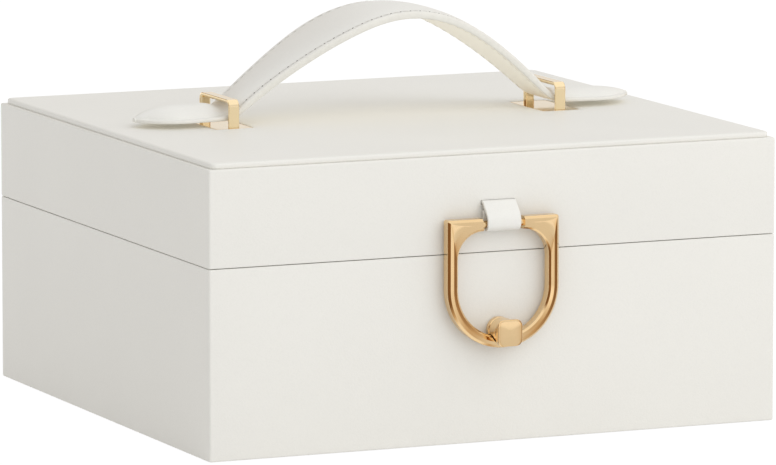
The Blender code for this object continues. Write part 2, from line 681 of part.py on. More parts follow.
def screw_mesh(up, grow=0.0):
    """Countersunk screw with its head at the origin; up is +1 when the head faces +Z."""
    head_r = 1.7 * MM + grow
    shank_r = 0.8 * MM + grow
    above = CLEAR if grow else 0.0
    profile = [(head_r, above), (head_r, -0.1 * MM), (shank_r, -0.7 * MM), (shank_r, -SCREW_LONG - grow)]
    sides = 12
    bm = bmesh.new()
    rings = []
    for radius, z in profile:
        turns = [2 * math.pi * i / sides for i in range(sides)]
        rings.append([bm.verts.new((radius * math.cos(t), radius * math.sin(t), up * z)) for t in turns])
    for a, b in zip(rings, rings[1:]):
        for i in range(sides):
            j = (i + 1) % sides
            bm.faces.new((a[i], a[j], b[j], b[i]))
    bm.faces.new(rings[0])
    bm.faces.new(rings[-1])
    return bm


def leaf_screw(name, x, z, up, mat, parent, drilled):
    at = (x, HALF_D - SCREW_IN, z)
    add(name, screw_mesh(up), mat, at, parent)
    hole = hidden(add(name + "_hole", screw_mesh(up, GAP), mat, at, parent))
    for obj in drilled:
        boolean(obj, hole)


def leaf_notch(name, x, low_z, high_z, wrap, mat, parent):
    """Room in a rim of the covering for one hinge leaf."""
    notch = cuboid(name, (x - HINGE_LONG / 2 - GAP, HALF_D - LEAF_REACH - GAP, low_z),
                   (x + HINGE_LONG / 2 + GAP, HALF_D + CLEAR, high_z), mat, parent)
    boolean(wrap, hidden(notch))


def hinge(name, x, mats, base, lid, pivot):
    metal = mats["gold"]
    third = HINGE_LONG / 3
    slack = 0.2 * MM
    base_spans = [(-1.5 * third, -0.5 * third - slack), (0.5 * third + slack, 1.5 * third)]
    lid_spans = [(-0.5 * third + slack, 0.5 * third - slack)]
    base_z = BASE_TOP - LEAF_RECESS - LEAF_THICK
    lid_z = LID_BOTTOM + LEAF_RECESS
    base_leaf = hinge_leaf("hinge_base_leaf_" + name, x, base_z, base_spans, metal, None)
    lid_leaf = hinge_leaf("hinge_lid_leaf_" + name, x, lid_z, lid_spans, metal, pivot)
    cylinder("hinge_pin_" + name, (x, HINGE_Y, HINGE_Z), HINGE_PIN_R, HINGE_LONG + 1.6 * MM, "X", metal,
             None, 16)
    leaf_notch("base_notch_" + name, x, base_z - GAP, BASE_TOP + CLEAR, base["wrap"], mats["leather"], None)
    leaf_notch("lid_notch_" + name, x, LID_BOTTOM - CLEAR, lid_z + LEAF_THICK + GAP, lid["wrap"],
               mats["leather"], pivot)
    leaf_screw("hinge_base_screw_" + name, x, base_z + LEAF_THICK, 1, metal, None, [base_leaf, base["back"]])
    leaf_screw("hinge_lid_screw_" + name, x, lid_z, -1, metal, pivot, [lid_leaf, lid["back"]])


# ---------------------------------------------------------------- tray
def ring_roll(name, x_pair, y, z, foot, mat, pivot):
    """A padded ring roll: round on top, with straight sides down to its foot."""
    outline = arc(0, 0, ROLL_R, 0, 180, 10)
    outline.append((-ROLL_R, foot - z))
    outline.append((ROLL_R, foot - z))
    half = (x_pair[1] - x_pair[0]) / 2
    obj = add(name, prism_mesh(outline, half, "X"), mat, (x_pair[0] + half, y, z), pivot)
    bevel(obj, 1.2 * MM, 2, 60)


def ring_rolls(inner_x, inner_y, floor, mats, pivot):
    """A bank of rolls that fills the front left cell; rings are held in the clefts between them."""
    low = -inner_y + 2 * GAP
    high = TRAY_CROSS_Y - TRAY_DIVIDER / 2 - 3 * GAP
    pitch = (high - low) / ROLL_COUNT
    x_pair = (-inner_x + TRAY_WALL, TRAY_FRONT_X - TRAY_DIVIDER / 2 - 0.7 * MM)
    for i in range(ROLL_COUNT):
        ring_roll("tray_ring_roll_%d" % (i + 1), x_pair, low + pitch * (i + 0.5),
                  TRAY_TOP - 1 * MM - ROLL_R, floor, mats["velvet"], pivot)


def tray(mats, pivot):
    """Lift-out tray with three dividers, ring rolls and a ribbon pull at each end."""
    velvet = mats["velvet"]
    shell = cuboid("tray_shell", (-TRAY_X, -TRAY_Y, TRAY_BOTTOM), (TRAY_X, TRAY_Y, TRAY_TOP), velvet, pivot)
    hollow = cuboid("tray_hollow", (-TRAY_X + TRAY_WALL, -TRAY_Y + TRAY_WALL, TRAY_BOTTOM + TRAY_FLOOR),
                    (TRAY_X - TRAY_WALL, TRAY_Y - TRAY_WALL, TRAY_TOP + CLEAR), velvet, pivot)
    boolean(shell, hidden(hollow))
    floor = TRAY_BOTTOM + TRAY_FLOOR + GAP
    inner_x = TRAY_X - TRAY_WALL - GAP
    inner_y = TRAY_Y - TRAY_WALL - GAP
    top = TRAY_TOP - DIVIDER_DROP
    half = TRAY_DIVIDER / 2
    cuboid("tray_divider_long", (-inner_x, TRAY_CROSS_Y - half, floor), (inner_x, TRAY_CROSS_Y + half, top),
           velvet, pivot)
    cuboid("tray_divider_rear", (TRAY_REAR_X - half, TRAY_CROSS_Y + half + GAP, floor),
           (TRAY_REAR_X + half, inner_y, top), velvet, pivot)
    cuboid("tray_divider_front", (TRAY_FRONT_X - half, -inner_y, floor),
           (TRAY_FRONT_X + half, TRAY_CROSS_Y - half - GAP, top), velvet, pivot)
    ring_rolls(inner_x, inner_y, floor, mats, pivot)
    thick, wide, long = PULL
    for name, side in (("tray_pull_left", -1), ("tray_pull_right", 1)):
        at = (side * (inner_x - 1.0 * MM), PULL_Y, TRAY_TOP + 0.5 * MM - long / 2)
        add(name, cuboid_mesh((thick, wide, long)), mats["ribbon"], at, pivot)


# ---------------------------------------------------------------- assembly
def make_materials():
    return {
        "leather": material("leather", (0.85, 0.84, 0.79), 0.45),
        "leather_edge": material("leather_edge", (0.86, 0.83, 0.74), 0.55),
        "gold": material("gold", (0.86, 0.66, 0.42), 0.18, 1.0),
        "steel": material("steel", (0.62, 0.62, 0.62), 0.35, 1.0),
        "board": material("fibreboard", (0.48, 0.35, 0.22), 0.85),
        "velvet": material("velvet", (0.80, 0.76, 0.69), 0.9),
        "ribbon": material("ribbon", (0.83, 0.78, 0.70), 0.5),
        "glass": material("mirror_glass", (0.85, 0.87, 0.88), 0.05, 1.0),
        "felt": material("felt", (0.60, 0.57, 0.52), 0.95),
    }


def build():
    clear_scene()
    mats = make_materials()

    # joint axes
    lid_pivot = empty("lid_pivot", (0, HINGE_Y, HINGE_Z))
    sway_pivot = empty("sway_pivot", (HANDLE_X, 0, SWAY_Z), lid_pivot)
    tab_pivot = empty("tab_pivot", (LATCH_X, -HALF_D - 0.5 * MM, TAB_TOP), lid_pivot)
    ring_pivot = empty("ring_pivot", (LATCH_X, -HALF_D - PIN_OUT, PIN_Z), tab_pivot)
    tray_pivot = empty("tray_pivot", (0, 0, TRAY_BOTTOM))

    base = base_box(mats)
    base_fittings(mats)
    strike_plate(mats, base["front"])

    lid = lid_box(mats, lid_pivot)
    pad = top_pad(mats, lid_pivot)
    lid_mirror(mats, lid_pivot)
    handle_hardware(mats, lid, pad, lid_pivot)
    handle_strap(mats, sway_pivot)

    latch_ring(mats, ring_pivot)
    latch_knob(mats, ring_pivot)
    latch_tab(mats, tab_pivot)
    tab_anchor(mats, lid, lid_pivot)

    for name, side in (("left", -1), ("right", 1)):
        hinge(name, side * HINGE_X, mats, base, lid, lid_pivot)
    tray(mats, tray_pivot)


build()
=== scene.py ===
"""Looks for a leather jewellery box: coverings, padded handle, polished latch and lined interior.

Metres, in the frame's own axes: +X to the right, +Y to the hinged back, +Z up.
"""
import json
import math

import bmesh
import bpy
import numpy as np
from mathutils import Matrix, Vector

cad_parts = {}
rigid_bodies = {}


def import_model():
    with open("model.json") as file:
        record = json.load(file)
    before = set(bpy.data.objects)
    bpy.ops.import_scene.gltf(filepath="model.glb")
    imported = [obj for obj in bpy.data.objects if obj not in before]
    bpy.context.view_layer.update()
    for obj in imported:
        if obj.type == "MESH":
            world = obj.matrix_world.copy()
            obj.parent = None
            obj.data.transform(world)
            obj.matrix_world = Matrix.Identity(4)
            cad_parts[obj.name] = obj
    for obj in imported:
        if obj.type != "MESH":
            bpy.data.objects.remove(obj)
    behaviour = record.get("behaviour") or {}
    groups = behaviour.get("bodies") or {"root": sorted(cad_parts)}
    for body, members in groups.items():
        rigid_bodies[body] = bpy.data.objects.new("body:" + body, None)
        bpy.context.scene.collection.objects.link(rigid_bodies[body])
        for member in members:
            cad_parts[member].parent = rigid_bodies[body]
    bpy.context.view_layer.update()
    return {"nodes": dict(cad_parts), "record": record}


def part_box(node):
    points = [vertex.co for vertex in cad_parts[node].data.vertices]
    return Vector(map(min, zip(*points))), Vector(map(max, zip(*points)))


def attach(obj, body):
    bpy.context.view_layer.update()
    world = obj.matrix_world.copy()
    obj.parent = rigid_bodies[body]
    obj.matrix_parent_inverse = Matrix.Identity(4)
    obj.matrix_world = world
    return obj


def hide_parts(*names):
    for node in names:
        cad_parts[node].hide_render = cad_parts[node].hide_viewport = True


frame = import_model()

MM = 0.001

# ---- places read from the frame
BASE_LOW, BASE_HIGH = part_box("base_wrap")
LID_LOW, LID_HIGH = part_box("lid_wrap")
PAD_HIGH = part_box("top_pad")[1]
HALF_W = BASE_HIGH.x
HALF_D = BASE_HIGH.y
FRONT = -HALF_D


# ---- material helpers
def start(name):
    """A new material: (material, node tree, Principled shader, position in metres)."""
    mat = bpy.data.materials.new(name)
    mat.use_nodes = True
    tree = mat.node_tree
    place = node(tree, "TexCoord", {}).outputs["Object"]
    return mat, tree, tree.nodes["Principled BSDF"], place


def plug(tree, socket, value):
    """Link a socket or set its value; a colour gets its alpha."""
    if isinstance(value, bpy.types.NodeSocket):
        tree.links.new(value, socket)
    elif socket.type == "RGBA":
        socket.default_value = (*value[:3], 1.0)
    else:
        socket.default_value = value


def node(tree, kind, inputs, **settings):
    made = tree.nodes.new("ShaderNode" + kind)
    for key, value in settings.items():
        setattr(made, key, value)
    for key, value in inputs.items():
        plug(tree, made.inputs[key], value)
    return made


def noise(tree, place, scale, detail=3.0, rough=0.5, stretch=None):
    if stretch:
        place = node(tree, "Mapping", {"Vector": place, "Scale": stretch}).outputs["Vector"]
    made = node(tree, "TexNoise", {"Vector": place, "Scale": scale, "Detail": detail, "Roughness": rough})
    return made.outputs["Fac"]


def remap(tree, value, from_low, from_high, to_low=0.0, to_high=1.0):
    made = node(tree, "MapRange", {"Value": value, "From Min": from_low, "From Max": from_high,
                                   "To Min": to_low, "To Max": to_high})
    return made.outputs["Result"]


def times(tree, a, b):
    return node(tree, "Math", {0: a, 1: b}, operation="MULTIPLY").outputs[0]


def plus(tree, a, b):
    return node(tree, "Math", {0: a, 1: b}, operation="ADD").outputs[0]


def blend_colors(tree, factor, a, b):
    return node(tree, "Mix", {0: factor, 6: a, 7: b}, data_type="RGBA").outputs[2]


def finish_shader(tree, shader, color, roughness, height, bump, **values):
    """Plug colour, roughness and bump (height times bump metres) into the shader."""
    bumped = node(tree, "Bump", {"Height": height, "Distance": bump, "Strength": 1.0}).outputs["Normal"]
    for key, value in dict(values, Base_Color=color, Roughness=roughness, Normal=bumped).items():
        plug(tree, shader.inputs[key.replace("_", " ")], value)


def shade(color, factor):
    return tuple(c * factor for c in color)


# ---- materials
def leather_material(name, color, pebble=1400.0, bump=0.035 * MM, roughness=0.46, glow=0.0):
    """Faux leather: small pebbles, painted shade in the hollows between them and faint patches of tone; glow
    is painted light, an emission that brightens leather lying in shade.
    """
    mat, tree, shader, place = start(name)
    cells = node(tree, "TexVoronoi", {"Vector": place, "Scale": pebble, "Smoothness": 0.6},
                 feature="SMOOTH_F1").outputs["Distance"]
    fine = noise(tree, place, pebble * 1.7, 2.0)
    soft = noise(tree, place, 120.0, 2.0)
    height = plus(tree, times(tree, cells, -0.8), times(tree, fine, 0.5))
    height = plus(tree, height, times(tree, soft, 0.5))
    patches = remap(tree, noise(tree, place, 14.0, 3.0), 0.3, 0.7)
    tone = blend_colors(tree, patches, shade(color, 0.988), shade(color, 1.006))
    # Painted shade: the leather darkens in the hollows between the pebbles.
    pore_shade = remap(tree, cells, 0.35, 0.8, 0.0, 0.22)
    tone = blend_colors(tree, pore_shade, tone, shade(color, 0.93))
    rough = remap(tree, fine, 0.3, 0.7, roughness - 0.05, roughness + 0.06)
    # Emission of the leather's own colour at strength glow: painted light wherever glow is set.
    finish_shader(tree, shader, tone, rough, height, bump, Specular_IOR_Level=0.35, Coat_Weight=0.04,
                  Coat_Roughness=0.4, Emission_Color=color, Emission_Strength=glow)
    return mat


def plain_material(name, color, grain, span, shades, rough, bump, tone_span=None, **values):
    """Tone, roughness and bump that all follow one grain, which is made from (tree, place)."""
    mat, tree, shader, place = start(name)
    height = grain(tree, place)
    share = remap(tree, height, *(tone_span or span))
    tone = blend_colors(tree, share, *(shade(color, factor) for factor in shades))
    finish_shader(tree, shader, tone, remap(tree, height, *span, *rough), height, bump, **values)
    return mat


def speckle(scale, detail, rough=0.5):
    """Grain of even noise."""
    return lambda tree, place: noise(tree, place, scale, detail, rough)


def ribs(scale, distortion, direction):
    """Grain of fine parallel ribs."""
    return lambda tree, place: node(
        tree, "TexWave", {"Vector": place, "Scale": scale, "Distortion": distortion, "Detail": 1.0},
        bands_direction=direction).outputs["Fac"]


def metal_material(name, color, roughness, streak, bump, stretch=(1.0, 1.0, 1.0)):
    """Plated metal: polish marks in roughness, and a slight drift of tone."""
    mat, tree, shader, place = start(name)
    marks = noise(tree, place, streak, 4.0, 0.6, stretch)
    drift = noise(tree, place, 60.0, 2.0)
    tone = blend_colors(tree, remap(tree, drift, 0.3, 0.7), shade(color, 0.96), color)
    rough = remap(tree, marks, 0.3, 0.7, roughness * 0.8, roughness * 1.25)
    finish_shader(tree, shader, tone, rough, marks, bump, Metallic=1.0)
    return mat


def velvet_material(name, color, bump=0.12 * MM):
    """Short-pile velvet: soft nap patches, and a painted sheen that makes it lighter where it is seen edge
    on.
    """
    mat, tree, shader, place = start(name)
    pile = noise(tree, place, 2200.0, 2.0)
    nap = noise(tree, place, 45.0, 4.0, 0.6)
    edge_on_sheen = node(tree, "LayerWeight", {"Blend": 0.35}).outputs["Facing"]
    tone = blend_colors(tree, remap(tree, nap, 0.35, 0.65, 0.0, 1.0), shade(color, 0.86), color)
    # Painted sheen: the tone lightens towards edge-on views.
    tone = blend_colors(tree, remap(tree, edge_on_sheen, 0.3, 1.0, 0.0, 0.55), tone, shade(color, 1.12))
    height = plus(tree, pile, times(tree, nap, 0.6))
    rough = remap(tree, pile, 0.3, 0.7, 0.85, 1.0)
    finish_shader(tree, shader, tone, rough, height, bump, Sheen_Weight=0.7, Sheen_Roughness=0.35,
                  Specular_IOR_Level=0.15)
    return mat


def board_material(name, color):
    """Raw fibreboard: pressed fibres and specks."""
    mat, tree, shader, place = start(name)
    fibres = noise(tree, place, 600.0, 5.0, 0.7, (1.0, 1.0, 4.0))
    specks = noise(tree, place, 1500.0, 1.0)
    tone = blend_colors(tree, remap(tree, fibres, 0.3, 0.7), shade(color, 0.72), shade(color, 1.2))
    tone = blend_colors(tree, remap(tree, specks, 0.62, 0.72, 0.0, 0.5), tone, shade(color, 0.45))
    finish_shader(tree, shader, tone, remap(tree, fibres, 0.3, 0.7, 0.78, 0.95), fibres, 0.08 * MM)
    return mat


WHOLE = (0.0, 1.0)           # spans of a grain that tone and roughness follow
MIDDLE = (0.3, 0.7)
MATS = {
    "leather": leather_material("leather_offwhite", (0.870, 0.858, 0.812)),
    "leather_soft": leather_material("leather_strap", (0.872, 0.862, 0.820), 1100.0, 0.045 * MM, 0.44),
    # The lining glows a little (glow 0.13): painted fill light on the shaded underside of the strap; its
    # cream colour is the lining's own.
    "underside": leather_material("leather_strap_lining", (0.95, 0.915, 0.82), 1700.0, 0.03 * MM, 0.55, 0.13),
    "leather_edge": plain_material("leather_edge_paint", (0.865, 0.850, 0.795), speckle(420.0, 3.0), MIDDLE,
                                   (0.96, 1.0), (0.38, 0.5), 0.05 * MM, (0.35, 0.65)),
    "thread": plain_material("sewing_thread", (0.87, 0.85, 0.80), ribs(900.0, 1.5, "DIAGONAL"), WHOLE,
                             (0.86, 1.0), (0.55, 0.7), 0.05 * MM, Sheen_Weight=0.2),
    # Painted shade: dark material for the needle holes, which look dark only from the shade inside them.
    "hole": plain_material("needle_hole_shade", (0.16, 0.14, 0.11), speckle(800.0, 2.0), WHOLE, (0.7, 1.0),
                           (0.8, 0.95), 0.02 * MM),
    "gold": metal_material("rose_gold_polished", (0.880, 0.650, 0.370), 0.10, 260.0, 0.004 * MM),
    # Painted highlight: a paler, brighter copy of the rose gold for the loops and plates, so they read as
    # brightly lit.
    "gold_painted_bright": metal_material("loop_rose_gold_painted_bright", (0.99, 0.81, 0.52), 0.10, 260.0, 0.004 * MM),
    "steel": metal_material("steel_brushed", (0.62, 0.62, 0.61), 0.30, 500.0, 0.02 * MM, (1.0, 12.0, 12.0)),
    "velvet": velvet_material("velvet_cream", (0.78, 0.735, 0.655)),
    "velvet_roll": velvet_material("velvet_roll", (0.80, 0.755, 0.675), 0.18 * MM),
    "ribbon": plain_material("ribbon_satin", (0.83, 0.78, 0.69), ribs(700.0, 0.4, "Z"), WHOLE, (0.9, 1.0),
                             (0.3, 0.42), 0.03 * MM, Anisotropic=0.6, Sheen_Weight=0.3),
    "fibreboard": board_material("fibreboard_raw", (0.42, 0.30, 0.18)),
    "felt": plain_material("felt_grey", (0.46, 0.43, 0.38), speckle(900.0, 6.0, 0.75), MIDDLE, (0.8, 1.12),
                           (0.9, 1.0), 0.2 * MM, Sheen_Weight=0.4),
    "mirror_glass": plain_material("mirror_silvered", (0.90, 0.92, 0.93), speckle(12.0, 1.0), MIDDLE,
                                   (0.99, 1.0), (0.001, 0.003), 0.01 * MM, WHOLE,
                                   Metallic=1.0, Coat_Weight=1.0, Coat_Roughness=0.0),
}


# ---- mesh helpers
def link(obj):
    bpy.context.scene.collection.objects.link(obj)
    return obj


def show(name, mesh, body, replaces=()):
    """Put a mesh into the scene as a piece that rides on a body."""
    obj = link(bpy.data.objects.new(name, mesh))
    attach(obj, body)
    if replaces:
        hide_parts(*replaces)
    return obj


def piece(name, bm, mats, body, replaces=(), sharp=38.0):
    """Turn a bmesh into a shown piece that rides on a body."""
    mesh = to_mesh(name, bm)
    for mat in mats:
        mesh.materials.append(MATS[mat])
    mesh.shade_smooth()
    mesh.set_sharp_from_angle(angle=math.radians(sharp))
    return show(name, mesh, body, replaces)


def to_mesh(name, bm):
    bmesh.ops.recalc_face_normals(bm, faces=bm.faces)
    mesh = bpy.data.meshes.new(name)
    bm.to_mesh(mesh)
    bm.free()
    return mesh


def bake(obj):
    """Replace an object's mesh by what its modifiers make of it."""
    bpy.context.view_layer.update()
    mesh = bpy.data.meshes.new_from_object(obj.evaluated_get(bpy.context.evaluated_depsgraph_get()))
    obj.modifiers.clear()
    obj.data = mesh


def carve(obj, tools, sharp=38.0):
    """Cut closed meshes out of a piece and keep only the result."""
    cutters = []
    for bm in tools:
        tool = link(bpy.data.objects.new("cutter", to_mesh("cutter", bm)))
        cutters.append(tool)
        mod = obj.modifiers.new("carve", "BOOLEAN")
        mod.solver = "EXACT"
        mod.object = tool
    bake(obj)
    obj.data.set_sharp_from_angle(angle=math.radians(sharp))
    for tool in cutters:
        bpy.data.objects.remove(tool)


def measure(node_name):
    """(low corner, high corner, middle, half size) of a CAD node."""
    low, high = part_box(node_name)
    return low, high, (low + high) / 2, (high - low) / 2


def arc(cx, cy, radius, start_deg, end_deg, count):
    """Points of an arc, both ends included."""
    turns = [math.radians(start_deg + (end_deg - start_deg) * i / count) for i in range(count + 1)]
    return [(cx + radius * math.cos(t), cy + radius * math.sin(t)) for t in turns]


def soften(corners, steps=4, closed=True):
    """Round the corners of an outline.  Each corner is (a, b, reach); reach 0 keeps it sharp."""
    points = []
    count = len(corners)
    for i, (a, b, reach) in enumerate(corners):
        here = Vector((a, b))
        if reach == 0 or (not closed and i in (0, count - 1)):
            points.append(here)
            continue
        before = here + (Vector(corners[i - 1][:2]) - here).normalized() * reach
        after = here + (Vector(corners[(i + 1) % count][:2]) - here).normalized() * reach
        for k in range(steps + 1):
            t = k / steps
            points.append(before * (1 - t) ** 2 + here * 2 * t * (1 - t) + after * t * t)
    return points


def rounded_ring(half_x, half_y, radius, z, middle=(0.0, 0.0), steps=5):
    points = []
    for sx, sy, turn in ((1, 1, 0), (-1, 1, 90), (-1, -1, 180), (1, -1, 270)):
        for a, b in arc(sx * (half_x - radius), sy * (half_y - radius), radius, turn, turn + 90, steps):
            points.append(Vector((middle[0] + a, middle[1] + b, z)))
    return points


def loft(rings, closed=False, bm=None):
    """Skin through rings of points; open lofts get a cap at each end, and closed ones join up."""
    bm = bm or bmesh.new()
    loops = [[bm.verts.new(p) for p in ring] for ring in rings]
    pairs = list(zip(loops, loops[1:]))
    if closed:
        pairs.append((loops[-1], loops[0]))
    for a, b in pairs:
        bridge(bm, a, b)
    if not closed:
        bm.faces.new(loops[0])
        bm.faces.new(list(reversed(loops[-1])))
    return bm


def bridge(bm, a, b):
    """Faces between two rings of vertices."""
    for i in range(len(a)):
        j = (i + 1) % len(a)
        bm.faces.new((a[i], a[j], b[j], b[i]))


def stack(profile, half_x, half_y, corner, tight, middle=(0.0, 0.0)):
    """Rings of (inset, z) round a rectangle with rounded corners."""
    return [rounded_ring(half_x - inset, half_y - inset, max(corner - inset, tight), z, middle)
            for inset, z in profile]


def frame_sweep(profile, half_x, half_y, corner):
    """Closed profile of (inset, z) run round a rectangle with rounded corners."""
    return loft(stack(profile, half_x, half_y, corner, 0.15 * MM), closed=True)


def block(low, high, radius=0.0, segments=3):
    """A box between two corners, with rounded edges if a radius is given."""
    low = Vector(low)
    high = Vector(high)
    bm = bmesh.new()
    bmesh.ops.create_cube(bm, size=1.0)
    bmesh.ops.scale(bm, vec=high - low, verts=bm.verts)
    bmesh.ops.translate(bm, vec=(low + high) / 2, verts=bm.verts)
    if radius:
        bmesh.ops.bevel(bm, geom=bm.edges[:], offset=radius, segments=segments, profile=0.5,
                        affect="EDGES", clamp_overlap=True)
    return bm


def lathe(profile, axis, at, sides=40, bm=None):
    """Turn a profile of (radius, along) about an axis through a point; ends are capped."""
    turns = [2 * math.pi * i / sides for i in range(sides)]
    place = {
        "X": lambda c, s, h: Vector((h, c, s)),
        "Y": lambda c, s, h: Vector((c, h, s)),
        "Z": lambda c, s, h: Vector((c, s, h)),
    }[axis]
    rings = [[place(r * math.cos(t), r * math.sin(t), h) + Vector(at) for t in turns] for r, h in profile]
    return loft(rings, bm=bm)


def rounded_rod(radius, low, high, lip):
    """Lathe profile of a rod with rounded ends."""
    corners = [(0.25 * radius, low, 0), (radius, low, lip), (radius, high, lip), (0.25 * radius, high, 0)]
    return soften(corners, 3, closed=False)


def band_sweep(path, section, place):
    """Run a section of (side, across) along a 2-D path; place turns (side, a, b) into a point."""
    rings = []
    for i, here in enumerate(path):
        before = Vector(path[max(i - 1, 0)])
        after = Vector(path[min(i + 1, len(path) - 1)])
        along = (after - before).normalized()
        left = Vector((-along.y, along.x))
        rings.append([place(side, *(Vector(here) + left * offset)) for side, offset in section])
    return loft(rings)


def strip_section(half, thick, reach, steps):
    """Section of a flat strip with rounded corners."""
    return soften([(-half, -thick / 2, reach), (half, -thick / 2, reach), (half, thick / 2, reach),
                   (-half, thick / 2, reach)], steps)


# ---- coverings
SKIN = 1.0 * MM
RIM = 8.9 * MM               # how far the covering turns in over the boards
WALL_CORNER = 1.1 * MM       # vertical edges of the box
RIM_ROUND = 0.45 * MM
PAD_CORNER = 3.2 * MM        # corners of the padded top
SEAM = 0.13 * MM             # the coverings swell this far into the gap between lid and base


def base_cover():
    """Leather over the base: walls, a rim turned in over the boards and a hem under the bottom."""
    low = BASE_LOW.z
    high = BASE_HIGH.z + SEAM
    hem = 2.6 * MM
    profile = soften([
        (0, low, 0.7 * MM), (0, high, RIM_ROUND), (RIM, high, 0.4 * MM), (RIM, high - SKIN - SEAM, 0.3 * MM),
        (SKIN, high - SKIN - SEAM, 0), (SKIN, low + 0.8 * MM, 0), (hem, low + 0.8 * MM, 0.3 * MM),
        (hem, low, 0.3 * MM)])
    cover = piece("base_cover", frame_sweep(profile, HALF_W, HALF_D, WALL_CORNER), ["leather"], "base",
                  ["base_wrap"])
    carve(cover, [hinge_notch(side, "base") for side in ("left", "right")])


def lid_cover():
    """Leather over the lid: a rim turned in over the boards, walls and a ledge under the padded top."""
    low = LID_LOW.z - SEAM
    high = LID_HIGH.z
    ledge = 9.0 * MM
    profile = soften([
        (0, low, RIM_ROUND), (0, high, 0.9 * MM), (ledge, high, 0), (ledge, high - SKIN, 0),
        (SKIN, high - SKIN, 0), (SKIN, low + SKIN + SEAM, 0), (RIM, low + SKIN + SEAM, 0.3 * MM),
        (RIM, low, 0.4 * MM)])
    cover = piece("lid_cover", frame_sweep(profile, HALF_W, HALF_D, WALL_CORNER), ["leather"], "lid",
                  ["lid_wrap"])
    slot_low, slot_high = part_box("tab_anchor")
    room = Vector((0.25, 0.0, 0.2)) * MM
    slot = block(slot_low - room - Vector((0, 2 * MM, 0)), slot_high + room)
    carve(cover, [slot] + [hinge_notch(side, "lid") for side in ("left", "right")])


def hinge_notch(side, body):
    """Room in the rim of a body for its hinge leaf."""
    low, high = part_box("hinge_%s_leaf_%s" % (body, side))
    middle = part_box("hinge_pin_" + side)[0].z + 1 * MM
    room = 0.3 * MM
    reach = 1.5 * MM
    deep = 1.4 * MM
    bottom = middle - deep if body == "base" else middle
    return block((low.x - room, low.y - room, bottom), (high.x + room, HALF_D + reach, bottom + deep))


def graded_lines(half, marks, spacing):
    """Grid lines from -half to half: dense at both ends and at the marks, even elsewhere."""
    near = [0.0, 0.12, 0.3, 0.55, 0.9, 1.3, 1.8, 2.5, 3.4, 4.6, 6.2, 8.5]
    lines = {round(x + sign * step * MM, 6) for x in [half] + marks for step in near for sign in (-1, 1)}
    lines = {x for x in lines if abs(x) <= half}
    lines |= {-x for x in lines if x > half - 10 * MM}
    count = int(2 * half / spacing)
    for i in range(1, count):
        x = -half + 2 * half * i / count
        if min(abs(x - y) for y in lines) > 0.3 * spacing:
            lines.add(round(x, 6))
    return sorted(lines)


def inside_distance(x, y, half_x, half_y, radius):
    """How far a point lies inside a rectangle with rounded corners (negative outside)."""
    a = abs(x) - (half_x - radius)
    b = abs(y) - (half_y - radius)
    return radius - math.hypot(max(a, 0.0), max(b, 0.0)) - min(max(a, b), 0.0)


def round_corner(x, y, half_x, half_y, radius):
    """Pull a point of a square corner in to a round one."""
    a = (abs(x) - (half_x - radius)) / radius
    b = (abs(y) - (half_y - radius)) / radius
    if a <= 0 or b <= 0:
        return x, y
    shrink = max(a, b) / math.hypot(a, b)
    return (math.copysign(half_x - radius + a * shrink * radius, x),
            math.copysign(half_y - radius + b * shrink * radius, y))


def pad_height(x, y, plates):
    """Height of the padded top: rolled edges, a soft crown, dimples round the plates."""
    roll_in = 1.5 * MM
    roll_down = 1.1 * MM
    inside = inside_distance(x, y, PAD_HIGH.x, PAD_HIGH.y, PAD_CORNER)
    z = PAD_HIGH.z
    if inside < roll_in:
        fall = 1 - inside / roll_in
        z -= roll_down * (1 - math.sqrt(max(0.0, 1 - fall * fall)))
    z += 0.25 * MM * min(1.0, inside / (45 * MM)) ** 2
    z += 0.05 * MM * math.sin(x * 61 + 1.3) * math.sin(y * 73 + 0.4)
    for low, _, centre, half in plates:
        away = -inside_distance(x - centre.x, y - centre.y, half.x, half.y, 1.5 * MM)
        if away > 0.1 * MM:
            z -= 0.35 * MM * math.exp(-away / (2.6 * MM)) + 0.12 * MM * math.exp(-away / (9 * MM))
        else:
            z = low.z - 0.15 * MM
    return z


def top_panel():
    """Padded panel on the lid with rolled edges; the leather dips where the plates press on it."""
    plates = [measure("plate_left"), measure("plate_right")]
    marks_x = [x for plate in plates for x in (plate[0].x, plate[1].x)]
    xs = graded_lines(PAD_HIGH.x, marks_x, 8 * MM)
    ys = graded_lines(PAD_HIGH.y, [plates[0][0].y, plates[0][1].y], 8 * MM)
    bm = bmesh.new()
    grid = []
    for x in xs:
        column = []
        for y in ys:
            px, py = round_corner(x, y, PAD_HIGH.x, PAD_HIGH.y, PAD_CORNER)
            column.append(bm.verts.new((px, py, pad_height(px, py, plates))))
        grid.append(column)
    for i in range(len(xs) - 1):
        for j in range(len(ys) - 1):
            bm.faces.new((grid[i][j], grid[i + 1][j], grid[i + 1][j + 1], grid[i][j + 1]))
    border = [column[0] for column in grid[:-1]] + grid[-1][:-1]
    border += [column[-1] for column in reversed(grid[1:])] + grid[0][:0:-1]
    floor = LID_HIGH.z + 0.02 * MM
    rows = [border]
    for drop, inset in ((0.5, 0.0), (0.85, 0.05), (1.0, 0.3)):
        z = border[0].co.z * (1 - drop) + floor * drop
        shrink = 1 - inset * MM / PAD_HIGH.y
        rows.append([bm.verts.new((v.co.x * shrink, v.co.y * shrink, z)) for v in border])
    for a, b in zip(rows, rows[1:]):
        bridge(bm, a, b)
    bm.faces.new(rows[-1])
    piece("top_panel", bm, ["leather"], "lid", ["top_pad"], 60)


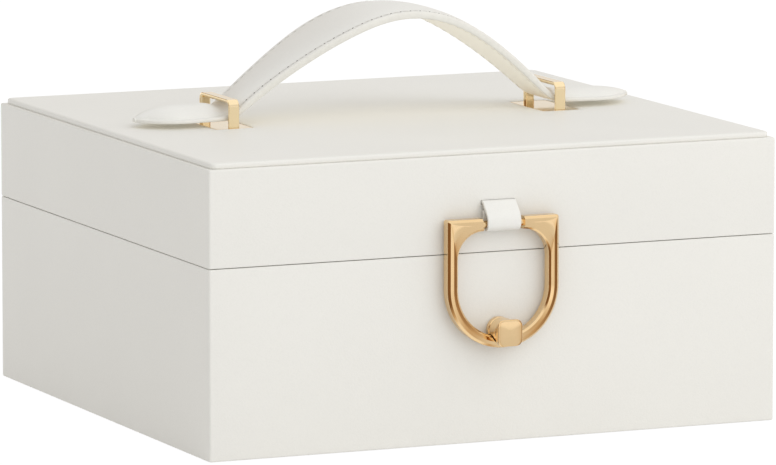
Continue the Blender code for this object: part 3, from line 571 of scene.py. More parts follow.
# ---- handle strap
STRAP_LOW, STRAP_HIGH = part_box("handle_strap")
HANDLE_X = (STRAP_LOW.x + STRAP_HIGH.x) / 2
STRAP_TIP = (STRAP_HIGH.x - STRAP_LOW.x) / 2
STRAP_HALF = STRAP_HIGH.y
STRAP_SHOULDER = 104 * MM    # where the leaf-shaped tails start to narrow
WAIST_HALF = 15.4 * MM       # half width in the loops; the grip between them is broader
GRIP_BROAD = 20 * MM         # full breadth up to here from the middle, and the waist from GRIP_WAIST on
GRIP_WAIST = 78 * MM
EDGE_ARCH = 3.5 * MM         # thickness at the edges, over the arch and at the tails
EDGE_TAIL = 1.6 * MM
EDGE_FULL = 60 * MM
CROWN_ARCH = 5.2 * MM        # thickness in the middle of the grip, of the left tail and of the right one
CROWN_LEFT = 7.2 * MM
CROWN_RIGHT = 5.2 * MM
TAIL_START = 80 * MM
TAIL_FULL = 92 * MM
ARCH_APEX = STRAP_HIGH.z - CROWN_ARCH
ARCH_SPREAD = 55.6 * MM      # how blunt the top of the arch is, how steep its sides are, and its lean
ARCH_FALL = 1.04
ARCH_LEAN = 3.9 * MM
TAIL_LOW = 134.8 * MM        # height of the tails, their slope, and how far their ends lift
TAIL_RISE = 0.08
LIFT_LEFT = 1.8 * MM
LIFT_RIGHT = 2.0 * MM
LIFT_FROM = 74 * MM
LIFT_TO = 108 * MM
TAIL_SOFT = 1.6 * MM
SWAY_Z = 140 * MM
MARGIN = 3.6 * MM            # flat stitched margin beside the padding
STITCH_IN = 2.7 * MM         # stitches, in from the edge
STITCH_PITCH = 4.6 * MM
STITCH_END = 77 * MM         # the rows stop at the loops
TOP, EDGE, LINING = 0, 1, 2  # material places of the strap and the tab


def smooth_step(value, first, last):
    t = min(1.0, max(0.0, (value - first) / (last - first)))
    return t * t * (3 - 2 * t)


def strap_underside(u):
    """Height of the strap underside at u, its place along X from the handle's middle."""
    arch = ARCH_APEX - ARCH_FALL * (math.hypot(u, ARCH_SPREAD) - ARCH_SPREAD)
    tail = TAIL_LOW + TAIL_RISE * max(0.0, STRAP_SHOULDER - abs(u))
    tail += LIFT_LEFT * smooth_step(-u, LIFT_FROM, LIFT_TO) + LIFT_RIGHT * smooth_step(u, LIFT_FROM, LIFT_TO)
    return TAIL_SOFT * math.log(math.exp(arch / TAIL_SOFT) + math.exp(tail / TAIL_SOFT))


def strap_frame(u):
    """(point on the underside, direction away from it) at u."""
    step = 0.05 * MM
    slope = (strap_underside(u + step) - strap_underside(u - step)) / (2 * step)
    low = strap_underside(u)
    lean = ARCH_LEAN * max(0.0, low - SWAY_Z) / (ARCH_APEX - SWAY_Z)
    return Vector((HANDLE_X + u + lean, 0, low)), Vector((-slope, 0, 1)).normalized()


def strap_sizes(u):
    """(half width, thickness at the edge, thickness in the middle) at u."""
    t = max(0.0, min(1.0, (abs(u) - STRAP_SHOULDER) / (STRAP_TIP - STRAP_SHOULDER)))
    waist = WAIST_HALF + (STRAP_HALF - WAIST_HALF) * (1 - smooth_step(abs(u), GRIP_BROAD, GRIP_WAIST))
    half = waist * max(0.06, 1 - t ** 2.2) ** 0.75
    edge = EDGE_ARCH + (EDGE_TAIL - EDGE_ARCH) * smooth_step(abs(u), EDGE_FULL, STRAP_SHOULDER)
    tail = CROWN_LEFT if u < 0 else CROWN_RIGHT
    crown = CROWN_ARCH + (tail - CROWN_ARCH) * smooth_step(abs(u), TAIL_START, TAIL_FULL)
    return half, edge, edge + (crown - edge) * min(1.0, half / WAIST_HALF)


def strap_top(u, side):
    """Height of the top of the strap above its underside, side metres from its middle line."""
    half, edge, crown = strap_sizes(u)
    margin = min(MARGIN, 0.4 * half)
    reach = abs(side) / (half - margin)
    if reach >= 1:
        return edge
    quilt = 0.12 * MM * math.sin(u * 210 + side * 90) * smooth_step(abs(u), 84 * MM, 96 * MM)
    return edge + (crown - edge) * (1 - reach ** 2.2) ** 0.72 + quilt * (1 - reach)


def strap_outline(u):
    """Points round the strap at u as (side, height): right edge and seam, dome, left ones, underside."""
    half, edge = strap_sizes(u)[:2]
    margin = min(MARGIN, 0.4 * half)
    round_in = min(0.7 * MM, 0.2 * half)
    groove = min(STITCH_IN, margin * 0.85)
    share = min(1.0, half / WAIST_HALF)
    right = [(half - round_in, 0.0), (half - 0.35 * round_in, 0.05 * edge), (half, 0.3 * edge),
             (half, 0.68 * edge), (half - 0.35 * round_in, 0.93 * edge), (half - round_in, edge)]
    seam = [(half - groove + 0.5 * MM * share, edge), (half - groove, edge - 0.16 * MM * share),
            (half - margin, edge + 0.05 * MM)]
    dome = []
    count = 18
    for i in range(1, count):
        side = (half - margin) * math.cos(math.pi * i / count)
        dome.append((side, strap_top(u, side)))
    left = [(-a, b) for a, b in reversed(right + seam)]
    below = [((half - round_in) * place, 0.0) for place in (-0.9, -0.6, -0.3, 0.0, 0.3, 0.6, 0.9)]
    return right + seam + dome + left + below


def strap():
    """Padded strap handle: domed top, flat stitched margins, painted edges and a paler lining."""
    stations = 150
    bm = bmesh.new()
    rows = []
    for i in range(stations + 1):
        u = -STRAP_TIP * math.cos(math.pi * i / stations)
        base, up = strap_frame(u)
        rows.append([bm.verts.new(base + up * b + Vector((0, a, 0))) for a, b in strap_outline(u)])
    count = len(rows[0])
    for a, b in zip(rows, rows[1:]):
        for j in range(count):
            k = (j + 1) % count
            bm.faces.new((a[j], b[j], b[k], a[k])).material_index = strap_part(j, count)
    bm.faces.new(rows[0]).material_index = EDGE
    bm.faces.new(list(reversed(rows[-1]))).material_index = EDGE
    obj = piece("strap_handle", bm, ["leather_soft", "leather_edge", "underside"], "handle",
                ["handle_strap"], 70)
    levels = obj.modifiers.new("subdivide", "SUBSURF")
    levels.levels = 1
    levels.render_levels = 1


def strap_part(index, count):
    """Material place of the strip of the strap after point index."""
    edge_points = 6
    lining_points = 8
    if index >= count - lining_points:
        return LINING
    if index < edge_points - 1 or index >= count - lining_points + 1 - edge_points:
        return EDGE
    return TOP


def rod(bm, points, radius, flat=1.0, sides=6):
    """A thin rod through points with closed ends, flattened along the given up vectors."""
    rings = []
    turns = [2 * math.pi * k / sides for k in range(sides)]
    for i, (here, up) in enumerate(points):
        before = points[max(i - 1, 0)][0]
        after = points[min(i + 1, len(points) - 1)][0]
        along = (after - before).normalized()
        side = along.cross(up).normalized()
        taper = radius * (0.55 if i in (0, len(points) - 1) else 1.0)
        rings.append([here + side * taper * math.cos(t) + up * taper * flat * math.sin(t) for t in turns])
    loft(rings, bm=bm)


def stitch_places():
    """Places along the strap, one stitch pitch apart, measured over the arch."""
    places = []
    u = 0.0
    while u < STITCH_END:
        places.append(u)
        u += STITCH_PITCH * max(0.3, strap_frame(u)[1].z)
    return sorted({-p for p in places} | set(places))


def stitches():
    """Two rows of stitches on top of the strap, two on its lining, and dark rods of painted shade for the
    needle holes along the front.
    """
    thread = bmesh.new()
    holes = bmesh.new()
    places = stitch_places()
    for u, after in zip(places, places[1:]):
        for side in (-1, 1):
            for top in (True, False):
                points = []
                for k in range(6):
                    share = 0.10 + 0.80 * k / 5
                    here = u + (after - u) * share
                    half, edge = strap_sizes(here)[:2]
                    base, up = strap_frame(here)
                    bow = 0.26 * MM * math.sin(math.pi * k / 5) - 0.14 * MM
                    height = edge + bow if top else -0.6 * bow
                    points.append((base + up * height + Vector((0, side * (half - STITCH_IN), 0)), up))
                rod(thread, points, 0.28 * MM, 0.6)
    # Needle holes: small flat dark rods just under the top, painted shade where the holes are.
    for u in places:
        half, edge = strap_sizes(u)[:2]
        base, up = strap_frame(u)
        along = up.cross(Vector((0, 1, 0)))
        middle = base + up * (edge - 0.06 * MM) - Vector((0, half - STITCH_IN, 0))
        ends = [(middle + along * 0.42 * MM * share, up) for share in (-1, -0.5, 0.5, 1)]
        rod(holes, ends, 0.42 * MM, 0.4, 8)
    piece("strap_stitches", thread, ["thread"], "handle", sharp=60)
    piece("strap_needle_holes", holes, ["hole"], "handle", sharp=60)


# ---- handle loops and plates
def handle_loop(side):
    """Polished flat band bent into an inverted U, standing on its plate."""
    high, middle, half = measure("loop_" + side)[1:]
    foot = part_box("plate_" + side)[1].z - 0.05 * MM
    thick = 1.8 * MM
    band = half.x
    mid = high.y - thick / 2
    top = high.z - thick / 2
    bend = 2.2 * MM
    path = [(mid, foot)] + arc(mid - bend, top - bend, bend, 0, 90, 10)
    path += arc(-mid + bend, top - bend, bend, 90, 180, 10) + [(-mid, foot)]
    bevel = 0.8 * MM
    section = soften([(-band, -thick / 2, 0.4 * MM), (band, -thick / 2, 0.4 * MM),
                      (band, thick / 2 - bevel, 0.15 * MM), (band - bevel, thick / 2, 0.2 * MM),
                      (bevel - band, thick / 2, 0.2 * MM), (-band, thick / 2 - bevel, 0.15 * MM)], 4)
    bm = band_sweep(path, section, lambda s, a, b: Vector((middle.x + s, a, b)))
    # The loop uses the brighter gold copy: painted highlight.
    piece("handle_loop_" + side, bm, ["gold_painted_bright"], "lid", ["loop_" + side], 50)


def loop_plate(side):
    """Thin polished plate with bevelled edges under a loop."""
    low, high, middle, half = measure("plate_" + side)
    profile = soften([(0, low.z, 0), (0, high.z - 0.35 * MM, 0.1 * MM), (0.5 * MM, high.z, 0.15 * MM),
                      (1.2 * MM, high.z, 0)], 3, closed=False)
    rings = stack(profile, half.x, half.y, 1.5 * MM, 0.3 * MM, middle)
    # The plate uses the brighter gold copy: painted highlight.
    piece("handle_plate_" + side, loft(rings), ["gold_painted_bright"], "lid", ["plate_" + side], 50)


# ---- latch
RING_LOW, RING_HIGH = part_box("latch_ring")
LATCH_X = (RING_LOW.x + RING_HIGH.x) / 2
RING_BAND = 5.1 * MM
RING_ARM = 5.6 * MM
RING_SHOULDER = 12.6 * MM
ARM_INNER = 10.3 * MM
KNOB_LOW, KNOB_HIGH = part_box("latch_knob")
BARREL_LOW, BARREL_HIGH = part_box("latch_barrel")
KNOB_Z = (KNOB_LOW.z + KNOB_HIGH.z) / 2


def ring_edge(half, top, corner, centre_z):
    """Half-open D from the end of the right arm, round the bottom, to the end of the left arm."""
    points = [(ARM_INNER, top)]
    points += arc(half - corner, top - corner, corner, 90, 0, 12)
    points += arc(0, centre_z, half, 0, -180, 56)
    points += arc(-half + corner, top - corner, corner, 180, 90, 12)
    points.append((-ARM_INNER, top))
    return [Vector(p) for p in points]


def ring_profile(thick):
    """Section of the ring as (edge it follows, distance from that edge, forward)."""
    front = thick / 2
    crown = 0.30 * MM
    soft = 0.10 * MM
    back = 0.4 * MM

    def side(edge, bevel):
        """From the back round to the bevelled front."""
        return [(edge, back, -front), (edge, soft, -front + soft), (edge, 0, -front + back),
                (edge, 0, front - bevel - crown - soft), (edge, soft, front - bevel - crown + soft),
                (edge, bevel - soft, front - crown - soft), (edge, bevel + soft, front - crown + 0.3 * soft)]

    crest = [("crest", 0.3, front - 0.10 * MM), ("crest", 0.5, front), ("crest", 0.7, front - 0.10 * MM)]
    return side("outer", 1.10 * MM) + crest + side("inner", 0.85 * MM)[::-1]


def latch_ring():
    """Cast ring: crowned front, bevelled edges, square shoulders and a round bottom."""
    half = (RING_HIGH.x - RING_LOW.x) / 2
    top = RING_HIGH.z
    centre_z = RING_LOW.z + half
    thick = RING_HIGH.y - RING_LOW.y
    y = (RING_HIGH.y + RING_LOW.y) / 2

    def outer(inset):
        return ring_edge(half - inset, top - inset, max(1.2 * MM - inset, 0.05 * MM), centre_z)

    def inner(inset):
        return ring_edge(half - RING_BAND + inset, top - RING_ARM + inset, RING_SHOULDER + inset, centre_z)

    lines = []
    for edge, amount, forward in ring_profile(thick):
        if edge == "outer":
            line = outer(amount)
        elif edge == "inner":
            line = inner(amount)
        else:
            line = [o.lerp(i, amount) for o, i in zip(outer(1.2 * MM), inner(0.95 * MM))]
        lines.append([Vector((LATCH_X + p.x, y - forward, p.y)) for p in line])
    rings = [list(ring) for ring in zip(*lines)]
    obj = piece("latch_ring_cast", loft(rings), ["gold"], "ring", ["latch_ring"], 14)
    radius = (BARREL_HIGH.x - BARREL_LOW.x) / 2 + 0.35 * MM
    scoop = lathe([(radius, -10 * MM), (radius, 10 * MM)], "Y", (LATCH_X, y, KNOB_Z), 48)
    carve(obj, [scoop], 14)


def latch_fittings():
    """Hinge pin of the ring, the round barrel and the square knob in front of it."""
    pin = measure("ring_pin")
    bm = lathe(rounded_rod(pin[3].z, -pin[3].x, pin[3].x, 0.4 * MM), "X", pin[2], 32)
    piece("latch_pin", bm, ["gold"], "ring", ["ring_pin"])
    radius = (BARREL_HIGH.x - BARREL_LOW.x) / 2
    back = BARREL_HIGH.y
    front = KNOB_HIGH.y
    seat = measure("latch_magnet")
    seat_radius = seat[3].x + 0.3 * MM
    seat_end = seat[0].y - 0.3 * MM
    neck = radius - 0.35 * MM
    corners = [(0.3 * MM, seat_end, 0), (seat_radius, seat_end, 0.1 * MM), (seat_radius, back, 0.2 * MM),
               (radius, back, 0.4 * MM), (radius, back - 2.6 * MM, 0.1 * MM),
               (neck, back - 2.9 * MM, 0.1 * MM),
               (neck, back - 3.4 * MM, 0.1 * MM), (radius, back - 3.7 * MM, 0.1 * MM),
               (radius, front + 1.1 * MM, 0.6 * MM),
               (radius - 1.2 * MM, front, 0.3 * MM), (0.3 * MM, front, 0)]
    barrel = lathe(soften(corners, 4, closed=False), "Y", (LATCH_X, 0, KNOB_Z), 56)
    piece("latch_barrel_turned", barrel, ["gold"], "ring", ["latch_barrel"])
    half = (KNOB_HIGH.x - KNOB_LOW.x) / 2
    corner = 3.0 * MM
    deep = KNOB_HIGH.y - KNOB_LOW.y
    rings = []
    for inset, out in soften([(1.4 * MM, 0, 0), (0, 0, 0.35 * MM), (0, deep - 0.1 * MM, 0.65 * MM),
                              (2.2 * MM, deep, 0.8 * MM), (4.6 * MM, deep + 0.06 * MM, 0)], 5, closed=False):
        ring = rounded_ring(half - inset, half - inset, max(corner - 0.7 * inset, 0.3 * MM), 0.0, steps=8)
        rings.append([Vector((LATCH_X + p.x, KNOB_HIGH.y - out, KNOB_Z + p.y)) for p in ring])
    piece("latch_knob_square", loft(rings), ["gold"], "ring", ["latch_knob"], 50)


def latch_tab():
    """Leather tab: out of its slot, slanting down and forward, then folded round the ring pin."""
    pin, pin_half = measure("ring_pin")[2:]
    thick = 1.4 * MM
    radius = pin_half.z + 0.3 * MM + thick / 2
    out_z = measure("tab_anchor")[2].z + 0.15 * MM
    front_y = pin.y - radius
    fold = arc(pin.y, pin.z, radius, 180, 360, 16)
    path = soften([(FRONT - 0.35 * MM, out_z + 0.1 * MM, 0), (FRONT - 1.3 * MM, out_z, 0.7 * MM),
                   (front_y + 0.9 * MM, 104.6 * MM, 1.2 * MM), (front_y, 102.6 * MM, 1.0 * MM),
                   (front_y, pin.z, 0)], 6, closed=False)
    path += [Vector(p) for p in fold[1:]]
    back_y = pin.y + radius
    path += soften([(back_y, pin.z + 1.2 * MM, 0), (back_y - 0.1 * MM, 103 * MM, 1 * MM),
                    (back_y + 0.1 * MM, 106.2 * MM, 0)], 4, closed=False)
    half = measure("latch_tab")[3].x
    section = strip_section(half, thick, 0.42 * MM, 4)
    bm = band_sweep(path, section, lambda s, a, b: Vector((LATCH_X + s, a, b)))
    for face in bm.faces:
        if abs(face.calc_center_median().x - LATCH_X) > half - 0.3 * MM:
            face.material_index = EDGE
    piece("latch_tab_folded", bm, ["leather_soft", "leather_edge"], "tab", ["latch_tab"], 60)


# ---- hinges
def hinge_leaf(name, spans, body):
    """Pressed leaf: a plate in the rim and rolled knuckles round the pin."""
    low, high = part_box(name)
    pin = measure(name.replace("base_leaf", "pin").replace("lid_leaf", "pin"))[2]
    knuckle = high.y - pin.y
    thick = 0.8 * MM
    gap = 0.4 * MM
    plate_z = pin.z - gap - thick if "base" in name else pin.z + gap
    bm = block((low.x, low.y, plate_z), (high.x, HALF_D - 0.2 * MM, plate_z + thick), 0.15 * MM, 2)
    for first, last in spans:
        part = block((pin.x + first, HALF_D - 1.2 * MM, plate_z), (pin.x + last, pin.y, plate_z + thick),
                     0.12 * MM, 2)
        copy_into(bm, part)
        lathe(rounded_rod(knuckle, first, last, 0.3 * MM), "X", pin, 36, bm)
    piece(name + "_pressed", bm, ["gold"], body, [name])


def copy_into(bm, part):
    mesh = to_mesh("part", part)
    bm.from_mesh(mesh)
    bpy.data.meshes.remove(mesh)


def hinge_screw(name, body):
    """Countersunk screw with a cross recess."""
    low, high, middle, half = measure(name)
    up = 1 if body == "base" else -1
    face = high.z if up > 0 else low.z
    radius = half.x
    long = 2 * half.z
    corners = [(0.2 * MM, 0.02 * MM, 0), (radius * 0.75, 0, 0.3 * MM), (radius, -0.12 * MM, 0.08 * MM),
               (0.8 * MM, -0.7 * MM, 0), (0.8 * MM, -long + 1.5 * MM, 0), (0.15 * MM, -long, 0)]
    profile = [(r, face + up * h) for r, h in soften(corners, 3, closed=False)]
    obj = piece(name + "_cross", lathe(profile, "Z", (middle.x, middle.y, 0), 28), ["gold"], body,
                [name])
    at = Vector((middle.x, middle.y, face))
    arms = [Vector(arm) * MM for arm in ((0.95, 0.21, 0.45), (0.21, 0.95, 0.45))]
    carve(obj, [block(at - arm, at + arm) for arm in arms])


def hinges():
    third = 10 * MM
    slack = 0.2 * MM
    base_spans = [(-1.5 * third, -0.5 * third - slack), (0.5 * third + slack, 1.5 * third)]
    lid_spans = [(-0.5 * third + slack, 0.5 * third - slack)]
    for side in ("left", "right"):
        hinge_leaf("hinge_base_leaf_" + side, base_spans, "base")
        hinge_leaf("hinge_lid_leaf_" + side, lid_spans, "lid")
        hinge_screw("hinge_base_screw_" + side, "base")
        hinge_screw("hinge_lid_screw_" + side, "lid")
        name = "hinge_pin_" + side
        middle, half = measure(name)[2:]
        pin = lathe(rounded_rod(half.z, -half.x, half.x, 0.3 * MM), "X", middle, 28)
        piece(name + "_domed", pin, ["gold"], "base", [name])


# ---- lined interior
def tub(node_name, name, body, corner, wall, floor, flip=False, mat="velvet", rim=0.5 * MM, cove=2.2 * MM):
    """Velvet-lined tray or lining: outside, rolled rim, inner walls, coved corners and floor."""
    low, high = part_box(node_name)
    tall = high.z - low.z
    lip = min(wall * 0.5, rim)
    profile = [(14 * MM, 0, 0), (0, 0, 0.8 * MM), (0, tall, lip), (wall, tall, lip), (wall, floor, cove),
               (wall + 3 * cove, floor, 0)]
    profile = [(inset, high.z - z if flip else low.z + z) for inset, z in soften(profile, 5, closed=False)]
    rings = stack(profile, high.x, high.y, corner, 0.6 * MM)
    piece(name, loft(rings), [mat], body, [node_name])


def divider(node_name, body, radius):
    """Velvet-covered board with a softly rounded top."""
    bm = block(*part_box(node_name), radius, 4)
    piece(node_name + "_velvet", bm, ["velvet"], body, [node_name], 60)


def piping():
    """Round cord sewn along the rim of the tray."""
    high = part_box("tray_shell")[1]
    radius = 0.7 * MM
    inset = 1.5 * MM
    profile = [(inset - radius * math.cos(a), high.z - 0.2 * MM + radius * math.sin(a))
               for a in [2 * math.pi * i / 12 for i in range(12)]]
    bm = frame_sweep(profile, high.x, high.y, 2.5 * MM)
    piece("tray_piping", bm, ["ribbon"], "tray", sharp=60)


def simulate_roll(source):
    """Puff up one ring roll by cloth simulation and return its mesh."""
    work = link(bpy.data.objects.new("roll_work", source.data.copy()))
    shrink = 0.965
    middle = sum((v.co for v in work.data.vertices), Vector()) / len(work.data.vertices)
    for v in work.data.vertices:
        v.co = middle + (v.co - middle) * shrink
    remesh = work.modifiers.new("remesh", "REMESH")
    remesh.mode = "VOXEL"
    remesh.voxel_size = 4 * MM
    bake(work)
    start_points = read_points(work.data)
    cloth = work.modifiers.new("cloth", "CLOTH").settings
    cloth.use_pressure = True
    cloth.uniform_pressure_force = 4.0
    cloth.effector_weights.gravity = 0.0
    cloth.quality = 6
    for step in range(1, 21):
        bpy.context.scene.frame_set(step)
    bake(work)
    bpy.context.scene.frame_set(1)
    limit_moves(work.data, start_points, 1.1 * MM)
    level = work.modifiers.new("subdivide", "SUBSURF")
    level.levels = 1
    bake(work)
    mesh = work.data
    bpy.data.objects.remove(work)
    return mesh


def read_points(mesh):
    points = np.zeros(len(mesh.vertices) * 3)
    mesh.vertices.foreach_get("co", points)
    return points.reshape(-1, 3)


def limit_moves(mesh, start_points, most):
    """Keep every point within a distance of where it started."""
    moved = read_points(mesh) - start_points
    lengths = np.linalg.norm(moved, axis=1)
    scale = np.minimum(1.0, most / np.maximum(lengths, 1e-9))
    mesh.vertices.foreach_set("co", (start_points + moved * scale[:, None]).ravel())
    mesh.update()


def ring_rolls():
    """Five padded rolls; the simulated one is reused with its place moved along Y."""
    names = ["tray_ring_roll_%d" % (i + 1) for i in range(5)]
    first_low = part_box(names[0])[0]
    mesh = simulate_roll(frame["nodes"][names[0]])
    mesh.materials.clear()
    mesh.materials.append(MATS["velvet_roll"])
    for name in names:
        shape = mesh.copy()
        shape.transform(Matrix.Translation((0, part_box(name)[0].y - first_low.y, 0)))
        shape.shade_smooth()
        show(name + "_padded", shape, "tray", [name])


def tray_pull(side):
    """Ribbon loop sewn to the end of the tray."""
    name = "tray_pull_" + side
    low, high, middle, half = measure(name)
    x = middle.x
    gap = 0.35 * MM
    thick = 0.4 * MM
    fall = [(gap + 0.3 * MM, high.z - 3 * MM), (gap, high.z - 6 * MM), (gap, low.z)]
    path = [(x - a, z) for a, z in reversed(fall)] + arc(x, high.z - 1.2 * MM, 0.75 * MM, 180, 0, 10)
    path += [(x + a, z) for a, z in fall]
    section = strip_section(half.y, thick, 0.12 * MM, 2)
    bm = band_sweep(path, section, lambda s, a, b: Vector((a, middle.y + s, b)))
    piece(name + "_ribbon", bm, ["ribbon"], "tray", [name], 60)


def mirror_frame():
    """Padded leather frame round the mirror, with a stitched inner edge."""
    low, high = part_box("mirror_frame")
    glass_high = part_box("mirror")[1]
    wide = high.x - glass_high.x - 0.3 * MM
    profile = soften([(0, high.z, 0), (0, low.z + 0.9 * MM, 0.6 * MM), (1.6 * MM, low.z, 1.3 * MM),
                      (wide - 3.4 * MM, low.z, 1.6 * MM), (wide - 2.6 * MM, low.z + 0.9 * MM, 0.3 * MM),
                      (wide, low.z + 0.8 * MM, 0.5 * MM), (wide, high.z, 0)], 4)
    piece("mirror_surround", frame_sweep(profile, high.x, high.y, 4 * MM), ["leather"], "lid",
          ["mirror_frame"], 60)
    thread = bmesh.new()
    inset = wide - 1.3 * MM
    z = low.z + 0.72 * MM
    for half, other, turn in ((high.x - inset, high.y - inset, 0), (high.y - inset, high.x - inset, 1)):
        count = int(2 * half / (4.0 * MM))
        for i in range(count):
            a = -half + 2 * half * (i + 0.14) / count
            b = -half + 2 * half * (i + 0.86) / count
            for side in (-other, other):
                ends = [Vector((side, t, z) if turn else (t, side, z)) for t in (a, (a + b) / 2, b)]
                ends[1].z -= 0.12 * MM
                rod(thread, [(p, Vector((0, 0, 1))) for p in ends], 0.28 * MM, 0.8)
    piece("mirror_stitches", thread, ["thread"], "lid", sharp=60)


def bottom_felt():
    low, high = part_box("bottom_sheet")
    profile = soften([(20 * MM, low.z, 0), (0, low.z, 0.3 * MM), (0, high.z, 0.3 * MM),
                      (20 * MM, high.z, 0)], 3, closed=False)
    bm = loft(stack(profile, high.x, high.y, 6 * MM, 0.5 * MM))
    piece("bottom_felt", bm, ["felt"], "base", ["bottom_sheet"])


def interior():
    lining = 1.2 * MM
    tub("base_lining", "base_lining_velvet", "base", 0.8 * MM, lining, lining)
    tub("lid_lining", "lid_lining_velvet", "lid", 0.8 * MM, lining, lining, flip=True)
    tub("tray_shell", "tray_shell_velvet", "tray", 2.5 * MM, 3 * MM, 2.4 * MM, rim=1.3 * MM, cove=0.6 * MM)
    piping()
    for name in ("tray_rest_left", "tray_rest_right", "base_divider_long", "base_divider_front"):
        divider(name, "base", 1.5 * MM)
    for name in ("tray_divider_long", "tray_divider_rear", "tray_divider_front"):
        divider(name, "tray", 1.3 * MM)
    ring_rolls()
    for side in ("left", "right"):
        tray_pull(side)
    mirror_frame()


def crisp_metal():
    """Flat faces of the metal pieces stay flat right up to their rounded edges."""
    for obj in bpy.context.scene.objects:
        made_here = obj.type == "MESH" and obj.name not in frame["nodes"]
        if made_here and {MATS["gold"], MATS["gold_painted_bright"]} & set(obj.data.materials):
            weighted = obj.modifiers.new("weighted", "WEIGHTED_NORMAL")
            weighted.keep_sharp = True


def carried_over():
    """Procedural materials for every CAD node, shown or not, by its material slot."""
    slots = {s["node"]: s["material_slot"] for s in frame["record"]["subparts"]}
    for name, obj in frame["nodes"].items():
        obj.data.materials.clear()
        obj.data.materials.append(MATS[slots[name]])


# ---- studio
AMBIENT = 0.738
FLOOR_GLOW = 0.90
MIRRORED = (0.90, 0.90, 0.89)  # what the mirror glass sees of the studio, with no dark gaps
DARK = (0.22, 0.115, 0.05)
WARM = (0.62, 0.46, 0.30)
PALE = (1.0, 0.97, 0.92)
FRONT_TONE = (0.82, 0.80, 0.78)
OVERHEAD = (1.04, 1.02, 0.99)
GAP = (0.26, 0.14, 0.06)


def studio_tones(tree, direction, path):
    """Colour of the studio as polished metal sees it, by direction: pale panels with warm dark gaps."""
    x, y, z = node(tree, "SeparateXYZ", {"Vector": direction}).outputs
    ramp = node(tree, "ValToRGB", {})
    stops = [(0.0, DARK), (0.10, DARK), (0.17, WARM), (0.24, PALE), (0.52, PALE), (0.59, WARM),
             (0.67, FRONT_TONE), (0.73, FRONT_TONE), (0.79, WARM), (0.86, DARK), (0.92, DARK), (0.96, WARM),
             (1.0, PALE)]
    ramp.color_ramp.elements.remove(ramp.color_ramp.elements[1])
    for place, color in stops:
        stop = ramp.color_ramp.elements.new(place) if place else ramp.color_ramp.elements[0]
        stop.color = (*color, 1)
    tree.links.new(remap(tree, x, -1.0, 1.0), ramp.inputs["Fac"])
    gap = times(tree, remap(tree, y, 0.72, 0.86), remap(tree, z, 0.22, 0.30))
    gap = times(tree, gap, remap(tree, x, 0.10, 0.25, 1.0, 0.0))
    bright = times(tree, remap(tree, z, -0.145, -0.115), remap(tree, z, -0.05, 0.02, 1.0, 0.0))
    far = node(tree, "VectorMath", {0: ramp.outputs["Color"], 1: (1.34, 1.36, 1.40)}, operation="MULTIPLY")
    tones = blend_colors(tree, bright, ramp.outputs["Color"], far.outputs["Vector"])
    tones = blend_colors(tree, remap(tree, z, 0.35, 0.55), tones, OVERHEAD)
    tones = blend_colors(tree, gap, tones, GAP)
    return blend_colors(tree, path.outputs["Is Singular Ray"], tones, MIRRORED)


def studio_world():
    """White to the camera, even soft light for surfaces, panels and gaps for reflections."""
    world = bpy.data.worlds.new("studio")
    world.use_nodes = True
    tree = world.node_tree
    path = node(tree, "LightPath", {})
    tones = studio_tones(tree, node(tree, "TexCoord", {}).outputs["Generated"], path)
    color = blend_colors(tree, path.outputs["Is Glossy Ray"], (AMBIENT, AMBIENT, AMBIENT), tones)
    color = blend_colors(tree, path.outputs["Is Camera Ray"], color, (1.0, 1.0, 1.0))
    tree.links.new(color, tree.nodes["Background"].inputs["Color"])
    bpy.context.scene.world = world


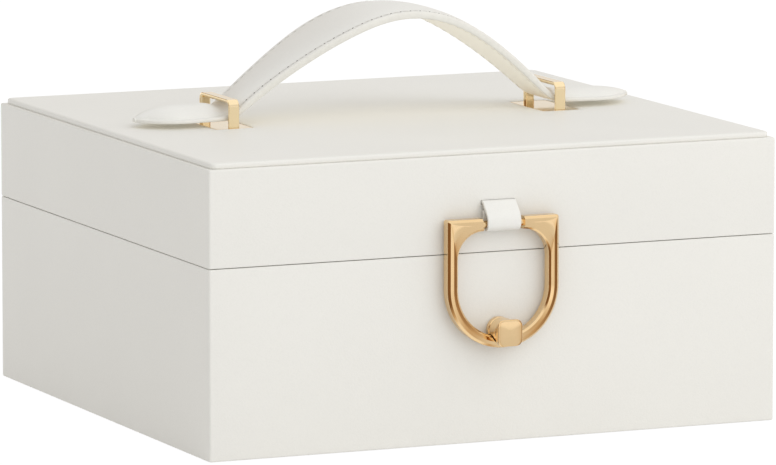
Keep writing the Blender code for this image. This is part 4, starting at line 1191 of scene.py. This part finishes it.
def studio_floor():
    """Pale floor: bright to the camera with a faint contact shadow, panels and gaps in reflections."""
    bpy.ops.mesh.primitive_plane_add(size=30, location=(0, 0, 0))
    floor = bpy.context.object
    floor.name = "floor"
    mat, tree, shader, _ = start("floor_pale")
    for key, value in {"Base Color": (0.90, 0.90, 0.90), "Roughness": 0.9, "Specular IOR Level": 0.0}.items():
        plug(tree, shader.inputs[key], value)
    path = node(tree, "LightPath", {})
    incoming = node(tree, "NewGeometry", {}).outputs["Incoming"]
    direction = node(tree, "VectorMath", {0: incoming, 1: (-1.0, -1.0, -1.0)}, operation="MULTIPLY")
    tones = studio_tones(tree, direction.outputs["Vector"], path)
    seen = node(tree, "Emission", {"Color": tones}).outputs[0]
    glow = node(tree, "Emission", {"Color": (1, 1, 1), "Strength": 1.07}).outputs[0]
    camera_share = times(tree, path.outputs["Is Camera Ray"], FLOOR_GLOW)
    pale = node(tree, "MixShader", {0: camera_share, 1: shader.outputs["BSDF"], 2: glow}).outputs[0]
    mixed = node(tree, "MixShader", {0: path.outputs["Is Glossy Ray"], 1: pale, 2: seen}).outputs[0]
    plug(tree, tree.nodes["Material Output"].inputs["Surface"], mixed)
    floor.data.materials.append(mat)


def aim(obj, location, direction):
    obj.location = location
    obj.rotation_mode = "QUATERNION"
    obj.rotation_quaternion = direction.to_track_quat("-Z", "Y")


def studio_light():
    """A broad key from the front right above, and nothing else but the even surroundings."""
    data = bpy.data.lights.new("key", "AREA")
    data.size = 3.2
    data.energy = 34.0
    data.color = (1.0, 0.995, 0.985)
    lamp = link(bpy.data.objects.new("key", data))
    place = Vector((1.3, -2.1, 1.95))
    aim(lamp, place, Vector((0.0, 0.0, 0.08)) - place)
    lamp.visible_glossy = False
    lamp.visible_camera = False


def add_camera():
    camera = link(bpy.data.objects.new("camera", bpy.data.cameras.new("camera")))
    yaw = math.radians(23.726)
    pitch = math.radians(-8.2515)
    direction = Vector((math.sin(yaw) * math.cos(pitch), math.cos(yaw) * math.cos(pitch), math.sin(pitch)))
    aim(camera, (-1.34844, -3.07641, 0.56547), direction)
    camera.data.lens = 337.46
    camera.data.sensor_width = 36
    camera.data.clip_start = 0.1
    camera.data.clip_end = 50
    bpy.context.scene.camera = camera


# ---- build the looks
carried_over()
base_cover()
lid_cover()
top_panel()
strap()
stitches()
for loop_side in ("left", "right"):
    handle_loop(loop_side)
    loop_plate(loop_side)
latch_ring()
latch_fittings()
latch_tab()
hinges()
interior()
bottom_felt()
crisp_metal()
studio_world()
studio_floor()
studio_light()
add_camera()
bpy.context.scene.view_settings.view_transform = "Standard"
